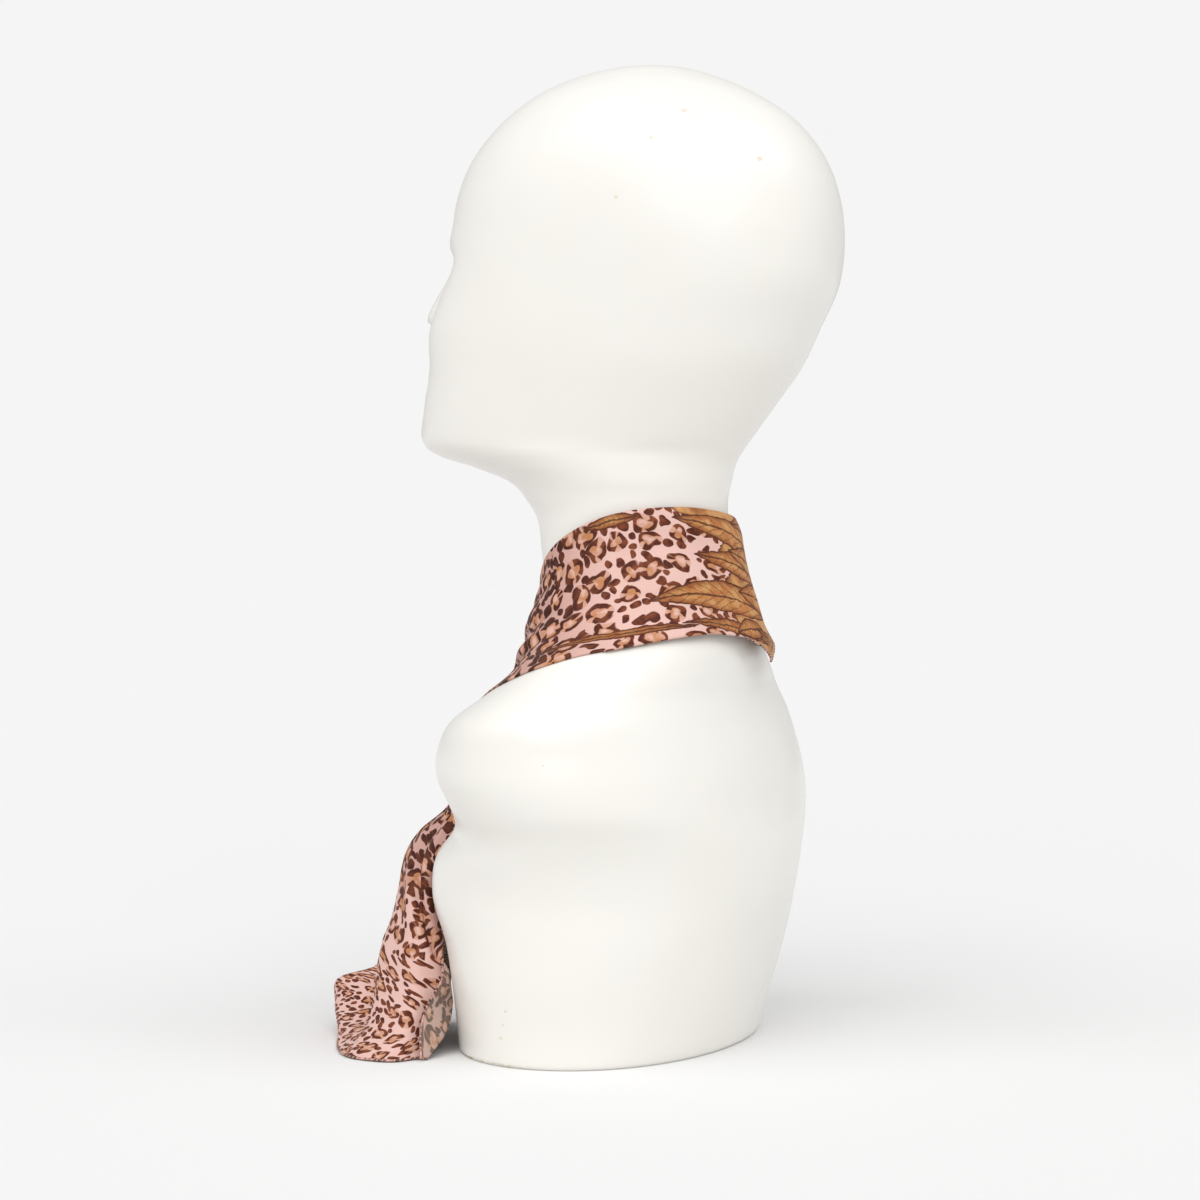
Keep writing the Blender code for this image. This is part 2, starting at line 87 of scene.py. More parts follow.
# Soft rises and hollows of the front: height, side, push, reach up, reach down and half width. A
# side above zero means a pair.
FORM_FEATURES = {
    "bust": (90, 64, 13, 30, 30, 36),
    "brow": (459, 26, 2, 8, 7, 20),
    "eye_hollow": (446, 31, -6.5, 10, 11, 15),
    "eyelid": (444, 31, 3, 6, 6, 10),
    "nose_bridge": (440, 0, 8, 18, 24, 8),
    "nose_tip": (419, 0, 12.5, 17, 6, 8.5),
    "nostril": (414, 10, 4.5, 6, 4, 5.5),
    "cheek": (408, 46, 2, 16, 20, 18),
    "upper_lip": (384, 0, 5.5, 6, 3.5, 19),
    "lower_lip": (376, 0, 5.5, 3.5, 6, 16),
    "under_lip": (365, 0, -2.5, 5, 6, 16),
    "chin": (351, 0, 5, 10, 10, 18),
}
# How many times faster than the front turns away the features fade out.
FEATURE_FADE = 3
# The bust's mesh: points round a level, levels to a section, and how far points crowd to the face.
FORM_AROUND = 176
FORM_STEPS = 7
FACE_CROWDING = 0.55
# How far the base's rim is rounded in where it meets the floor.
FOOT_INSET = 0.0014
# Levels to a section where the cloth is laid on the bust.
LAID_STEPS = 24


def smooth_rows(rows, steps):
    """Rows of a table joined by a Catmull-Rom curve, with steps points to each stretch."""
    knots = np.array(rows, float)
    ends = np.vstack([2 * knots[0] - knots[1], knots, 2 * knots[-1] - knots[-2]])
    made = []
    for before, start, stop, after in zip(ends, ends[1:], ends[2:], ends[3:]):
        for t in np.arange(steps) / steps:
            curve = 2 * start + (stop - before) * t
            curve += (2 * before - 5 * start + 4 * stop - after) * t**2
            curve += (3 * start - before - 3 * stop + after) * t**3
            made.append(0.5 * curve)
    made.append(knots[-1])
    return np.array(made)


def smooth_grid(rows, down, across):
    """A table of points made finer both ways by Catmull-Rom curves."""
    table = np.array(rows, float)
    count = table.shape[2]
    finer = smooth_rows(table.reshape(len(table), -1), down).reshape(-1, table.shape[1], count)
    turned = finer.transpose(1, 0, 2)
    finer = smooth_rows(turned.reshape(len(turned), -1), across)
    return finer.reshape(-1, turned.shape[1], count).transpose(1, 0, 2)


SECTION_UNITS = (MM, MM, MM, MM, 1)
FINE_SECTIONS = smooth_rows(FORM_SECTIONS, LAID_STEPS) * SECTION_UNITS


def bell(distance, reach):
    return np.exp(-((distance / reach) ** 2))


def ramp(value, start, run, most=1.0):
    """From 0 at start towards 1 after a run, and no more than most. A run below zero falls."""
    return np.clip((value - start) / run, 0, most)


def form_radius(turn, section):
    """How far the bust's surface lies from its section's centre, for a turn from the front."""
    height, _, half_depth, half_width, power = section
    if half_width < 1e-6:
        return np.zeros_like(turn)
    along = np.abs(np.cos(turn) / half_depth) ** power
    across = np.abs(np.sin(turn) / half_width) ** power
    radius = (along + across) ** (-1 / power)
    side = radius * np.sin(turn)
    front = np.clip(np.cos(turn), 0, 1)
    for at, beside, push, up, down, width in np.array(list(FORM_FEATURES.values())) * MM:
        rise = push * bell(height - at, up if height > at else down)
        spots = (side - beside, side + beside) if beside else (side,)
        for spot in spots:
            radius = radius + rise * bell(spot, width) * np.minimum(1, FEATURE_FADE * front)
    return radius


def section_at(height):
    columns = FINE_SECTIONS.T
    return np.array([np.interp(height, columns[0], column) for column in columns])


def form_point(turn, height, offset=0.0):
    """A point on the bust, moved out from its surface by offset in the section's plane."""
    section = section_at(height)
    radius = form_radius(np.array(turn), section) + offset
    return np.array([radius * math.sin(turn), -section[1] - radius * math.cos(turn), height])


def clear_of_form(point, gap):
    """The point, moved level out from the bust if it lies nearer to the surface than gap."""
    section = section_at(point[2])
    away = np.array([point[0], point[1] + section[1]])
    distance = math.hypot(*away)
    turn = math.atan2(away[0], -away[1])
    least = float(form_radius(np.array(turn), section)) + gap
    if distance >= least:
        return point
    spread = away / distance * least
    return np.array([spread[0], spread[1] - section[1], point[2]])


def linear(red, green, blue):
    """A colour as screens state it, 0 to 255, in linear light."""
    shares = np.array([red, green, blue]) / 255
    made = np.where(shares <= 0.04045, shares / 12.92, ((shares + 0.055) / 1.055) ** 2.4)
    return (*[float(v) for v in made], 1.0)


class Graph:
    """Short ways to add and link the nodes of one tree."""

    def __init__(self, tree):
        self.tree = tree

    def node(self, kind, inputs=None, **settings):
        made = self.tree.nodes.new(kind)
        for name, value in settings.items():
            setattr(made, name, value)
        self.fill(made, inputs or {})
        return made

    def fill(self, node, inputs):
        for name, value in inputs.items():
            self.feed(node.inputs[name], value)

    def feed(self, socket, value):
        if isinstance(value, bpy.types.NodeSocket):
            self.tree.links.new(value, socket)
        elif value is not None:
            socket.default_value = value

    def math(self, operation, a, b=None, c=None):
        made = self.node("ShaderNodeMath", operation=operation)
        for socket, value in zip(made.inputs, (a, b, c)):
            self.feed(socket, value)
        return made.outputs[0]

    def times(self, a, b):
        return self.math("MULTIPLY", a, b)

    def over(self, a, b):
        return self.math("DIVIDE", a, b)

    def plus(self, a, b):
        return self.math("ADD", a, b)

    def less(self, a, b):
        return self.math("SUBTRACT", a, b)

    def size(self, a):
        return self.math("ABSOLUTE", a)

    def scaled(self, a, by, plus):
        return self.math("MULTIPLY_ADD", a, by, plus)

    def vector(self, operation, a, b=None, scale=None):
        made = self.node("ShaderNodeVectorMath", operation=operation)
        self.feed(made.inputs[0], a)
        self.feed(made.inputs[1], b)
        if scale is not None:
            self.feed(made.inputs["Scale"], scale)
        return made.outputs["Value" if operation == "DISTANCE" else "Vector"]

    def parts(self, vector):
        return self.node("ShaderNodeSeparateXYZ", {"Vector": vector}).outputs

    def shares(self, colour):
        return self.node("ShaderNodeSeparateColor", {"Color": colour}).outputs

    def step(self, value, low, high):
        """0 below low and 1 above high, with a soft rise between. High may lie below low."""
        inputs = {"Value": value, "From Min": low, "From Max": high}
        made = self.node("ShaderNodeMapRange", inputs, interpolation_type="SMOOTHSTEP")
        return made.outputs["Result"]

    def mix(self, share, a, b, blend="MIX"):
        made = self.node("ShaderNodeMix", data_type="RGBA", blend_type=blend)
        for socket, value in ((0, share), (6, a), (7, b)):
            self.feed(made.inputs[socket], value)
        return made.outputs[2]

    def group(self, tree, inputs):
        return self.node("ShaderNodeGroup", node_tree=tree, inputs=inputs).outputs[0]

    def noise(self, vector, scale, detail=2.0, roughness=0.5, output="Fac"):
        inputs = {"Vector": vector, "Scale": scale, "Detail": detail, "Roughness": roughness}
        return self.node("ShaderNodeTexNoise", inputs).outputs[output]

    def strayed(self, place, source, scale, detail, reach):
        """Place pushed about by noise read at source, by up to half of reach each way."""
        noise = self.noise(source, scale, detail, output="Color")
        push = self.vector("SUBTRACT", noise, (0.5, 0.5, 0.5))
        return self.vector("ADD", place, self.vector("SCALE", push, scale=reach))


def new_material(name):
    """A material, the graph of its nodes and its shader."""
    made = bpy.data.materials.new(name)
    made.use_nodes = True
    return made, Graph(made.node_tree), made.node_tree.nodes["Principled BSDF"]


def new_group(name, kinds):
    """A node group that makes a colour, its graph, what it is given and what it makes."""
    tree = bpy.data.node_groups.new(name, "ShaderNodeTree")
    for socket, kind in kinds.items():
        tree.interface.new_socket(socket, in_out="INPUT", socket_type="NodeSocket" + kind)
    tree.interface.new_socket("Colour", in_out="OUTPUT", socket_type="NodeSocketColor")
    given = tree.nodes.new("NodeGroupInput").outputs
    made = tree.nodes.new("NodeGroupOutput").inputs
    return tree, Graph(tree), given, made


PINK_GROUND = linear(232, 194, 186)
PINK_SHADE = linear(222, 180, 168)
# Painted shade: the darker ground and brown that the print takes where it is dense, standing in for the
# shade of the gathered folds.
PAINTED_SHADE_GROUND = linear(174, 124, 112)
PAINTED_SHADE_BROWN = linear(48, 16, 8)
CARAMEL = linear(186, 120, 68)
SPOT_BROWN = linear(82, 32, 17)
SPOT_LIGHT = linear(128, 66, 38)
PARCHMENT = linear(205, 153, 98)
BURNT = linear(146, 84, 46)
RUST = linear(126, 64, 34)
INK = linear(72, 34, 22)
WRONG_SIDE_PALE = linear(234, 217, 202)
WRONG_SIDE_TINT = linear(245, 252, 253)
SLUB_BROWN = linear(120, 84, 72)
HEM_BROWN = linear(104, 62, 48)
HEM_PINK = linear(202, 150, 140)
THREAD_PALE = linear(222, 196, 180)
LACQUER_COOL = linear(240, 238, 233)
LACQUER_WARM = linear(237, 234, 227)
CHIP_BEIGE = linear(214, 198, 168)
RIM_BEIGE = linear(196, 176, 140)
# The names of the flat map in metres, and of how dense the print is at each point, which also sets how
# far painted shade darkens it.
CLOTH_MAP = "cloth"
DENSE_AND_SHADE_SHARE = "dense_and_shade_share"

# The animal print: rosettes and small spots to a metre, how far both stray from an even grid, the
# least radius and how much the largest adds, and how far spots keep from rosettes.
ROSETTES_TO_METRE = 56.0
SPOTS_TO_METRE = 128.0
CELL_STRAY = 0.66
ROSETTE_RADIUS = 0.006
ROSETTE_MORE = 0.0024
SPOT_RADIUS = 0.0025
SPOT_MORE = 0.0011
SPOT_CLEARANCE = 0.0012
# The share of rosette cells that stay empty, and how much of it a dense print fills.
EMPTY_SHARE = 0.14
DENSE_FILLS = 0.12
# How much larger a dense print's marks are, and how far painted shade darkens its ground and its brown.
DENSE_LARGER = 0.2
DENSE_SHADE_ON_GROUND = 0.55
DENSE_SHADE_ON_BROWN = 0.6
# Noise that pushes outlines about: its scale, to a metre, and its reach.
PRINT_WARPS = ((75.0, 0.0105), (260.0, 0.0014))
LEAF_WARP = (210.0, 0.0028)
# Ribs to a leaf's length, and how far they lean back, in ribs to a metre aside from the spine.
LEAF_RIBS = 11.0
LEAF_RIB_LEAN = 190.0


def leopard_group():
    """Rosettes and small spots on a pink ground, over a flat map in metres, with painted shade where
    the print is dense.
    """
    tree, g, given, made = new_group("leopard", {"Place": "Vector", "Dense and shade": "Float"})
    flat, dense_and_shade = given["Place"], given["Dense and shade"]
    place = flat
    for scale, reach in PRINT_WARPS:
        place = g.strayed(place, flat, scale, 1.0, reach)
    place = g.vector("MULTIPLY", place, (1, 1, 0))
    larger = g.scaled(dense_and_shade, DENSE_LARGER, 1.0)

    def cells(vector, to_metre):
        inputs = {"Vector": vector, "Scale": to_metre, "Randomness": CELL_STRAY}
        return g.node("ShaderNodeTexVoronoi", inputs, voronoi_dimensions="2D").outputs

    def rosette(found):
        """A cell's distance in metres, whether it holds a rosette, its radius and its random shares."""
        shares = g.shares(found["Color"])
        distance = g.over(found["Distance"], ROSETTES_TO_METRE)
        empty = g.scaled(dense_and_shade, -DENSE_FILLS, EMPTY_SHARE)
        held = g.math("GREATER_THAN", shares[0], empty)
        radius = g.scaled(shares[1], ROSETTE_MORE, ROSETTE_RADIUS)
        return distance, held, g.times(radius, larger), shares

    found = cells(place, ROSETTES_TO_METRE)
    distance, held, radius, shares = rosette(found)
    share = g.over(distance, radius)
    away = g.parts(g.vector("SUBTRACT", place, found["Position"]))
    turn = g.math("ARCTAN2", away[1], away[0])
    phase = g.times(shares[2], 40.0)
    waves = g.math("SINE", g.plus(g.times(turn, 2.0), phase))
    more = g.math("SINE", g.plus(g.times(turn, 5.0), g.times(phase, 1.7)))
    broken = g.scaled(more, 0.45, waves)
    whole = g.step(broken, 0.9, 0.68)
    thick = g.scaled(waves, -0.12, 0.42)
    inner = g.step(share, thick, g.plus(thick, 0.1))
    outer = g.step(share, 1.0, 0.9)
    ring = g.times(g.times(inner, outer), g.times(whole, held))
    middle = g.times(g.step(share, 0.78, 0.4), held)

    small = cells(place, SPOTS_TO_METRE)
    near, near_held, near_radius, _ = rosette(cells(small["Position"], ROSETTES_TO_METRE))
    room = g.less(near, g.times(near_radius, near_held))
    kept_clear = g.scaled(dense_and_shade, -SPOT_CLEARANCE, SPOT_CLEARANCE)
    free = g.math("GREATER_THAN", room, kept_clear)
    size = g.shares(small["Color"])[1]
    reach = g.times(g.scaled(size, SPOT_MORE, SPOT_RADIUS), larger)
    from_middle = g.over(small["Distance"], SPOTS_TO_METRE)
    dot = g.step(g.over(from_middle, reach), 1.0, 0.84)
    spot = g.times(dot, free)
    brown = g.math("MAXIMUM", ring, spot)

    blotch = g.noise(flat, 160.0)
    ground = g.mix(g.noise(flat, 28.0), PINK_GROUND, PINK_SHADE)
    # Painted shade: the ground darkens where the print is dense.
    ground = g.mix(g.times(dense_and_shade, DENSE_SHADE_ON_GROUND), ground, PAINTED_SHADE_GROUND)
    centre = g.mix(g.step(blotch, 0.36, 0.66), CARAMEL, PINK_SHADE)
    painted = g.mix(g.times(middle, 0.9), ground, centre)
    deep = g.mix(g.step(blotch, 0.4, 0.66), SPOT_BROWN, SPOT_LIGHT)
    # Painted shade: the brown marks darken where the print is dense.
    deep = g.mix(g.times(dense_and_shade, DENSE_SHADE_ON_BROWN), deep, PAINTED_SHADE_BROWN)
    halo = g.times(g.times(g.step(share, 1.0, 0.92), g.step(share, 0.2, 0.5)), held)
    painted = g.mix(g.times(halo, 0.42), painted, CARAMEL)
    g.feed(made["Colour"], g.mix(brown, painted, deep))
    return tree


def leaf_group():
    """One long leaf with a burnt rim, inked outline and veins, laid over what is painted so far."""
    kinds = {"Place": "Vector", "Under": "Color", **dict.fromkeys(LEAF_COLUMNS, "Float")}
    tree, g, given, made = new_group("leaf", kinds)
    base = g.node("ShaderNodeCombineXYZ", {"X": given["Base x"], "Y": given["Base y"]}).outputs[0]
    scale, reach = LEAF_WARP
    place = g.strayed(given["Place"], given["Place"], scale, 2.0, reach)
    away = g.vector("SUBTRACT", place, base)
    turned = g.node("ShaderNodeVectorRotate", {"Vector": away}, rotation_type="Z_AXIS")
    g.feed(turned.inputs["Angle"], g.times(given["Turn"], -1.0))
    local = g.parts(turned.outputs[0])
    along = g.over(local[0], given["Length"])
    inside = g.times(g.step(along, 0.0, 0.004), g.step(along, 1.0, 0.996))
    held = g.math("MINIMUM", g.math("MAXIMUM", along, 0.0), 1.0)
    bow = g.times(g.times(held, held), given["Bend"])
    side = g.less(local[1], bow)
    swell = g.math("POWER", g.math("SINE", g.times(held, math.pi)), 0.8)
    taper = g.scaled(held, -0.45, 1.2)
    half = g.times(g.times(swell, taper), given["Half width"])
    depth = g.less(half, g.size(side))
    body = g.times(g.step(depth, -0.0003, 0.0001), inside)

    mottle = g.noise(given["Place"], 120.0, 3.0, 0.6)
    fill = g.mix(g.step(mottle, 0.35, 0.62), PARCHMENT, CARAMEL)
    rim = g.scaled(mottle, 0.008, 0.0016)
    fill = g.mix(g.step(depth, rim, 0.0), fill, BURNT)
    lean = g.times(g.size(side), LEAF_RIB_LEAN)
    ribs = g.less(g.times(along, LEAF_RIBS), lean)
    rib = g.step(g.math("FRACT", g.plus(ribs, 40.0)), 0.2, 0.05)
    rib = g.times(rib, g.step(depth, 0.0006, 0.0014))
    fill = g.mix(g.times(rib, 0.6), fill, INK)
    spine = g.step(g.size(side), 0.0009, 0.0004)
    outline = g.step(g.size(g.less(depth, 0.0002)), 0.001, 0.0005)
    fill = g.mix(g.times(g.math("MAXIMUM", spine, outline), 0.85), fill, INK)
    g.feed(made["Colour"], g.mix(body, given["Under"], fill))
    return tree


# The caramel print at the nape, on the band's flat map: x runs from the nape towards the left, and y
# down from the top edge. Its two sides are scalloped and ragged, and lie further out near the top.
NAPE_MIDDLE = -0.03
NAPE_HALF = 0.046
NAPE_SCALLOPS = 260.0
NAPE_SCALLOP_DEPTH = 0.003
NAPE_RAGGED = 0.012
NAPE_TOP_WIDER = 0.024
# How far the painted shade, in rust, darkens the print past the nape, towards the band's side turned
# from the light.
NAPE_PAINTED_SHADE = 0.5
# Each leaf starts at a place on the same map.
LEAF_COLUMNS = ("Base x", "Base y", "Turn", "Length", "Half width", "Bend")
LEAF_UNITS = (MM, MM, 1, MM, MM, MM)
LEAVES = (
    (-34, 26, -0.2, 80, 10, -1),
    (64, 6, -0.06, 36, 4.6, 1),
    (-26, 44, -0.17, 64, 8.5, 2),
    (50, 86, -0.12, 90, 3.4, 5),
    (-12, 88, -0.04, 72, 5.2, -3),
    (-24, 66, -0.06, 98, 11.2, 3),
    (-10, 78, 0.3, 34, 7.2, 2),
    (12, 30, 3.02, 85, 11, 4),
    (10, 58, 3.2, 95, 12.5, -3),
    (0, 82, 3.1, 80, 6, 2),
    (4, 10, 3.3, 60, 7, 2),
)


def painted_cloth(g, leopard, leaf):
    """A piece's flat map and the print's colour on it, with the nape's leaves and a painted shade past
    them if leaf is given.
    """
    place = g.node("ShaderNodeUVMap", uv_map=CLOTH_MAP).outputs[0]
    dense_and_shade = g.node("ShaderNodeAttribute", attribute_name=DENSE_AND_SHADE_SHARE).outputs["Fac"]
    colour = g.group(leopard, {"Place": place, "Dense and shade": dense_and_shade})
    if leaf is None:
        return place, colour
    flat = g.parts(place)
    scallop = g.math("SINE", g.times(flat[1], NAPE_SCALLOPS))
    wider = g.times(g.step(flat[1], 0.016, 0.002), NAPE_TOP_WIDER)
    edge = g.plus(g.scaled(scallop, NAPE_SCALLOP_DEPTH, NAPE_HALF), wider)
    ragged = g.noise(place, 140.0, 3.0, 0.65)
    edge = g.plus(edge, g.scaled(ragged, NAPE_RAGGED, -NAPE_RAGGED / 2))
    near = g.less(edge, g.size(g.less(flat[0], NAPE_MIDDLE)))
    mottle = g.noise(place, 60.0, 3.0, 0.6)
    ground = g.mix(g.step(mottle, 0.38, 0.66), PARCHMENT, BURNT)
    ground = g.mix(g.step(near, 0.005, 0.0), ground, RUST)
    ground = g.mix(g.step(g.size(near), 0.0008, 0.0003), ground, INK)
    colour = g.mix(g.step(near, -0.0004, 0.0), colour, ground)
    for row in (np.array(LEAVES) * LEAF_UNITS).tolist():
        colour = g.group(leaf, {"Place": place, "Under": colour, **dict(zip(LEAF_COLUMNS, row))})
    # Painted shade: past the nape the print turns rust towards the band's far side, standing in for the
    # shade there.
    past = g.scaled(ragged, 0.03, flat[0])
    painted_shade = g.times(g.step(past, -0.016, -0.06), NAPE_PAINTED_SHADE)
    return place, g.mix(painted_shade, colour, RUST)


# The weave's ribs and the yarn's unevenness, to a metre, and how high they stand.
WEAVE_SCALE = 560.0
SLUB_SCALE = 900.0
WEAVE_HEIGHT = 0.0002
TWILL_FINISH = {"Roughness": 0.62, "Specular IOR Level": 0.22}
TWILL_SHEEN = {"Sheen Weight": 0.04, "Sheen Roughness": 0.4}
# How far the print pales on the wrong side.
WRONG_SIDE_SHARE = 0.19


def twill(name, leopard, leaf=None, wrong_side=False):
    """Light printed twill: its print, a fine slanting weave and a soft sheen."""
    made, g, shader = new_material(name)
    place, colour = painted_cloth(g, leopard, leaf)
    if wrong_side:
        colour = g.mix(WRONG_SIDE_SHARE, colour, WRONG_SIDE_PALE)
        colour = g.mix(1.0, colour, WRONG_SIDE_TINT, "MULTIPLY")
    ribs = {"Vector": place, "Scale": WEAVE_SCALE, "Distortion": 0.6, "Detail": 1.0}
    weave = g.node("ShaderNodeTexWave", ribs, bands_direction="DIAGONAL")
    slub = g.noise(place, SLUB_SCALE)
    height = g.scaled(slub, 0.5, weave.outputs["Fac"])
    bump = g.node("ShaderNodeBump", {"Height": height, "Strength": 0.12, "Distance": WEAVE_HEIGHT})
    colour = g.mix(g.times(slub, 0.1), colour, SLUB_BROWN, "MULTIPLY")
    g.fill(shader, {"Base Color": colour, "Normal": bump.outputs[0], **TWILL_FINISH, **TWILL_SHEEN})
    return made


# Small beige chips in the bust's lacquer: x, y, z and how far they reach.
CHIPS = (
    (53.6, 71.2, 524.1, 2.6),
    (67.5, 57.8, 508.3, 1.8),
    (45.6, 113, 496.2, 2.6),
    (77.2, 41.3, 475.8, 1.8),
    (147.4, 32.2, 169.2, 1.4),
    (118.1, -5.9, 31.7, 1.6),
    (116.6, -8.2, 24, 1.4),
    (115.1, -10.4, 16.3, 1.8),
)


LACQUER_ROUGHNESS = 0.27
WORN_ROUGHER = 0.4


def lacquer():
    """Glossy off-white lacquer, slightly wavy, with chips and a worn rim at the base."""
    made, g, shader = new_material("gloss_lacquer")
    place = g.node("ShaderNodeNewGeometry").outputs["Position"]
    ragged = g.noise(place, 900.0, 3.0, 0.7)
    chips = 0.0
    for x, y, z, reach in (np.array(CHIPS) * MM).tolist():
        far = g.vector("DISTANCE", place, (x, y, z))
        worn = g.less(g.over(far, reach), ragged)
        chips = g.math("MAXIMUM", g.step(worn, 0.25, 0.0), chips)
    level = g.parts(place)
    patchy = g.noise(place, 120.0, 3.0, 0.7)
    rim = g.times(g.step(level[2], 0.0026, 0.0012), g.step(patchy, 0.46, 0.56))
    rim = g.times(rim, g.step(level[1], 0.02, -0.03))
    white = g.mix(g.noise(place, 14.0), LACQUER_COOL, LACQUER_WARM)
    colour = g.mix(g.times(chips, 0.55), white, CHIP_BEIGE)
    colour = g.mix(g.times(rim, 0.8), colour, RIM_BEIGE)
    rough = g.scaled(g.math("MAXIMUM", chips, rim), WORN_ROUGHER, LACQUER_ROUGHNESS)
    waves = g.noise(place, 22.0, 1.0)
    bump = g.node("ShaderNodeBump", {"Height": waves, "Strength": 0.5, "Distance": 0.0016})
    g.fill(shader, {"Base Color": colour, "Roughness": rough, "Normal": bump.outputs[0]})
    return made


def placed(name, data):
    made = bpy.data.objects.new(name, data)
    bpy.context.scene.collection.objects.link(made)
    return made


def mesh_object(name, points, faces, materials):
    mesh = bpy.data.meshes.new(name)
    mesh.from_pydata([tuple(p) for p in points], [], faces)
    for material in materials:
        mesh.materials.append(material)
    mesh.shade_smooth()
    return placed(name, mesh)


def lay_map(made, places):
    """A piece's flat map, from a place for each of its points."""
    layer = made.data.uv_layers.new(name=CLOTH_MAP)
    for loop in made.data.loops:
        layer.data[loop.index].uv = places[loop.vertex_index]


def tube_faces(rings, around):
    """Faces that join rings of points, with a cap at each end."""
    faces = [tuple(range(around))]
    for low in range(0, (rings - 1) * around, around):
        high = low + around
        for j in range(around):
            after = (j + 1) % around
            faces.append((low + after, low + j, high + j, high + after))
    last = (rings - 1) * around
    faces.append(tuple(range(last, last + around))[::-1])
    return faces


def build_form(material):
    """The bust: rings of points on its sections, closed by a flat base and a crown."""
    even = np.linspace(-math.pi, math.pi, FORM_AROUND, endpoint=False)
    turns = even - FACE_CROWDING * np.sin(even)
    sections = smooth_rows(FORM_SECTIONS, FORM_STEPS) * SECTION_UNITS
    top, sections = sections[-1], sections[:-1]
    foot = sections[0] - np.array([0, 0, FOOT_INSET, FOOT_INSET, 0])
    sections[0, 0] = FOOT_INSET
    sections = np.vstack([foot, sections])
    points = []
    for section in sections:
        radii = form_radius(turns, section)
        for turn, radius in zip(turns, radii):
            points.append((radius * math.sin(turn), -section[1] - radius * math.cos(turn), section[0]))
    crown = len(points)
    points.append((0, -top[1], top[0]))
    faces = [tuple(range(FORM_AROUND))[::-1]]
    faces += [(b, a, d, c) for a, b, c, d in tube_faces(len(sections), FORM_AROUND)[1:-1]]
    last = crown - FORM_AROUND
    for i in range(FORM_AROUND):
        faces.append((last + i, last + (i + 1) % FORM_AROUND, crown))
    made = mesh_object("lacquered_bust", points, faces, [material])
    made.data.polygons[0].use_smooth = False
    return made


CLOTH_WALL = 0.0007


def cloth_object(
    name, grid, start, materials, gather=0.0, even=False, finer=1.0, closer=1.0, closer_from=0,
    dense_and_shade=None,
):
    """A thin shell on a grid of points, with a flat map in metres, and its flat width and length. Start
    is the map's value at the grid's first row and column. Gather, from 0 to 1, is how much of the
    widest row's width the narrower rows still hold in their folds. Even says that columns share the
    rows' mean lengths. Finer is how much smaller the print is, and closer is how much smaller along the
    piece, from one column on. Dense is how full the print is at each point, and how far painted shade
    darkens it there. The second material is for the wrong side."""
    grid = np.array(grid)
    rows, columns = grid.shape[:2]
    along = np.linalg.norm(np.diff(grid, axis=0), axis=2)
    across = np.linalg.norm(np.diff(grid, axis=1), axis=2)
    length = float(along.sum(axis=0).mean())
    if even:
        along[:] = along.mean(axis=1)[:, None]
    level = np.broadcast_to(along[:, closer_from:].mean(axis=1)[:, None], along.shape) * closer
    first = np.zeros((1, columns))
    maps = [np.vstack([first, np.cumsum(steps, axis=0)]) * finer for steps in (along, level)]
    v = np.hstack([np.zeros((rows, 1)), np.cumsum(across, axis=1)])
    width = v[:, -1:].copy()
    v *= finer * (1 + gather * (width.max() / width - 1))
    faces = []
    for i in range(rows - 1):
        for j in range(columns - 1):
            a = i * columns + j
            faces.append((a, a + 1, a + columns + 1, a + columns))
    made = mesh_object(name, grid.reshape(-1, 3), faces, materials)
    layer = made.data.uv_layers.new(name=CLOTH_MAP)
    for polygon in made.data.polygons:
        u = maps[int(polygon.index % (columns - 1) >= closer_from)]
        for loop, vertex in zip(polygon.loop_indices, polygon.vertices):
            i, j = divmod(vertex, columns)
            layer.data[loop].uv = (start[0] - u[i, j], start[1] + v[i, j])
    if dense_and_shade is not None:
        share = made.data.attributes.new(DENSE_AND_SHADE_SHARE, "FLOAT", "POINT")
        full = np.broadcast_to(dense_and_shade, (rows, columns))
        share.data.foreach_set("value", full.ravel().astype(np.float32))
    solid = made.modifiers.new("wall", "SOLIDIFY")
    solid.thickness = CLOTH_WALL
    solid.offset = 0
    solid.material_offset = 1
    return made, (float(width.mean()), length)


# The band's two edges, from the left of the knot round the nape to the right of it: the top edge's
# turn, height and offset, then the lower edge's. Turns are in degrees from the front towards the
# left, and offsets are how far the cloth stands off the bust.
BAND_EDGES = (
    (10, 169, 3.5, 13, 159, 3),
    (12, 199, 3, 27, 166.5, 2.5),
    (18, 233, 2.5, 35, 180, 2.2),
    (29, 257, 2, 47, 196.5, 2.2),
    (45, 273, 3.2, 66, 207.5, 2.6),
    (60, 284, 5, 79, 216.8, 2.8),
    (75, 292.2, 6, 92, 225, 2.8),
    (90, 298.4, 6, 105, 229.2, 3.2),
    (105, 302.5, 6, 119, 232.8, 4),
    (120, 305.1, 6, 133, 235, 5.5),
    (135, 306.2, 6.5, 148, 236, 6.2),
    (150, 306.2, 6.8, 162, 234.8, 7.2),
    (165, 304.8, 7, 172, 233.2, 9),
    (180, 302.8, 7.2, 183, 228.3, 11),
    (193, 301, 7, 194, 221.6, 10.6),
    (203, 300, 6.6, 200.5, 218.6, 8.8),
    (212, 299, 6, 207, 222.2, 8.4),
    (225, 298, 6, 219, 228.5, 8),
    (240, 297, 6, 234, 226.5, 6),
    (255, 295, 6, 248, 224.5, 3.5),
    (270, 291, 6, 262, 221.5, 2.8),
    (285, 286, 6, 275, 217, 2.8),
    (300, 278, 6, 287, 210.5, 4),
    (315, 266, 6.5, 299, 201.5, 6),
    (330, 248, 7, 311, 190, 6),
    (342, 224, 8, 323, 178, 6),
    (358, 194, 8, 343, 166, 6),
    (369, 170, 6, 366, 160, 5),
)
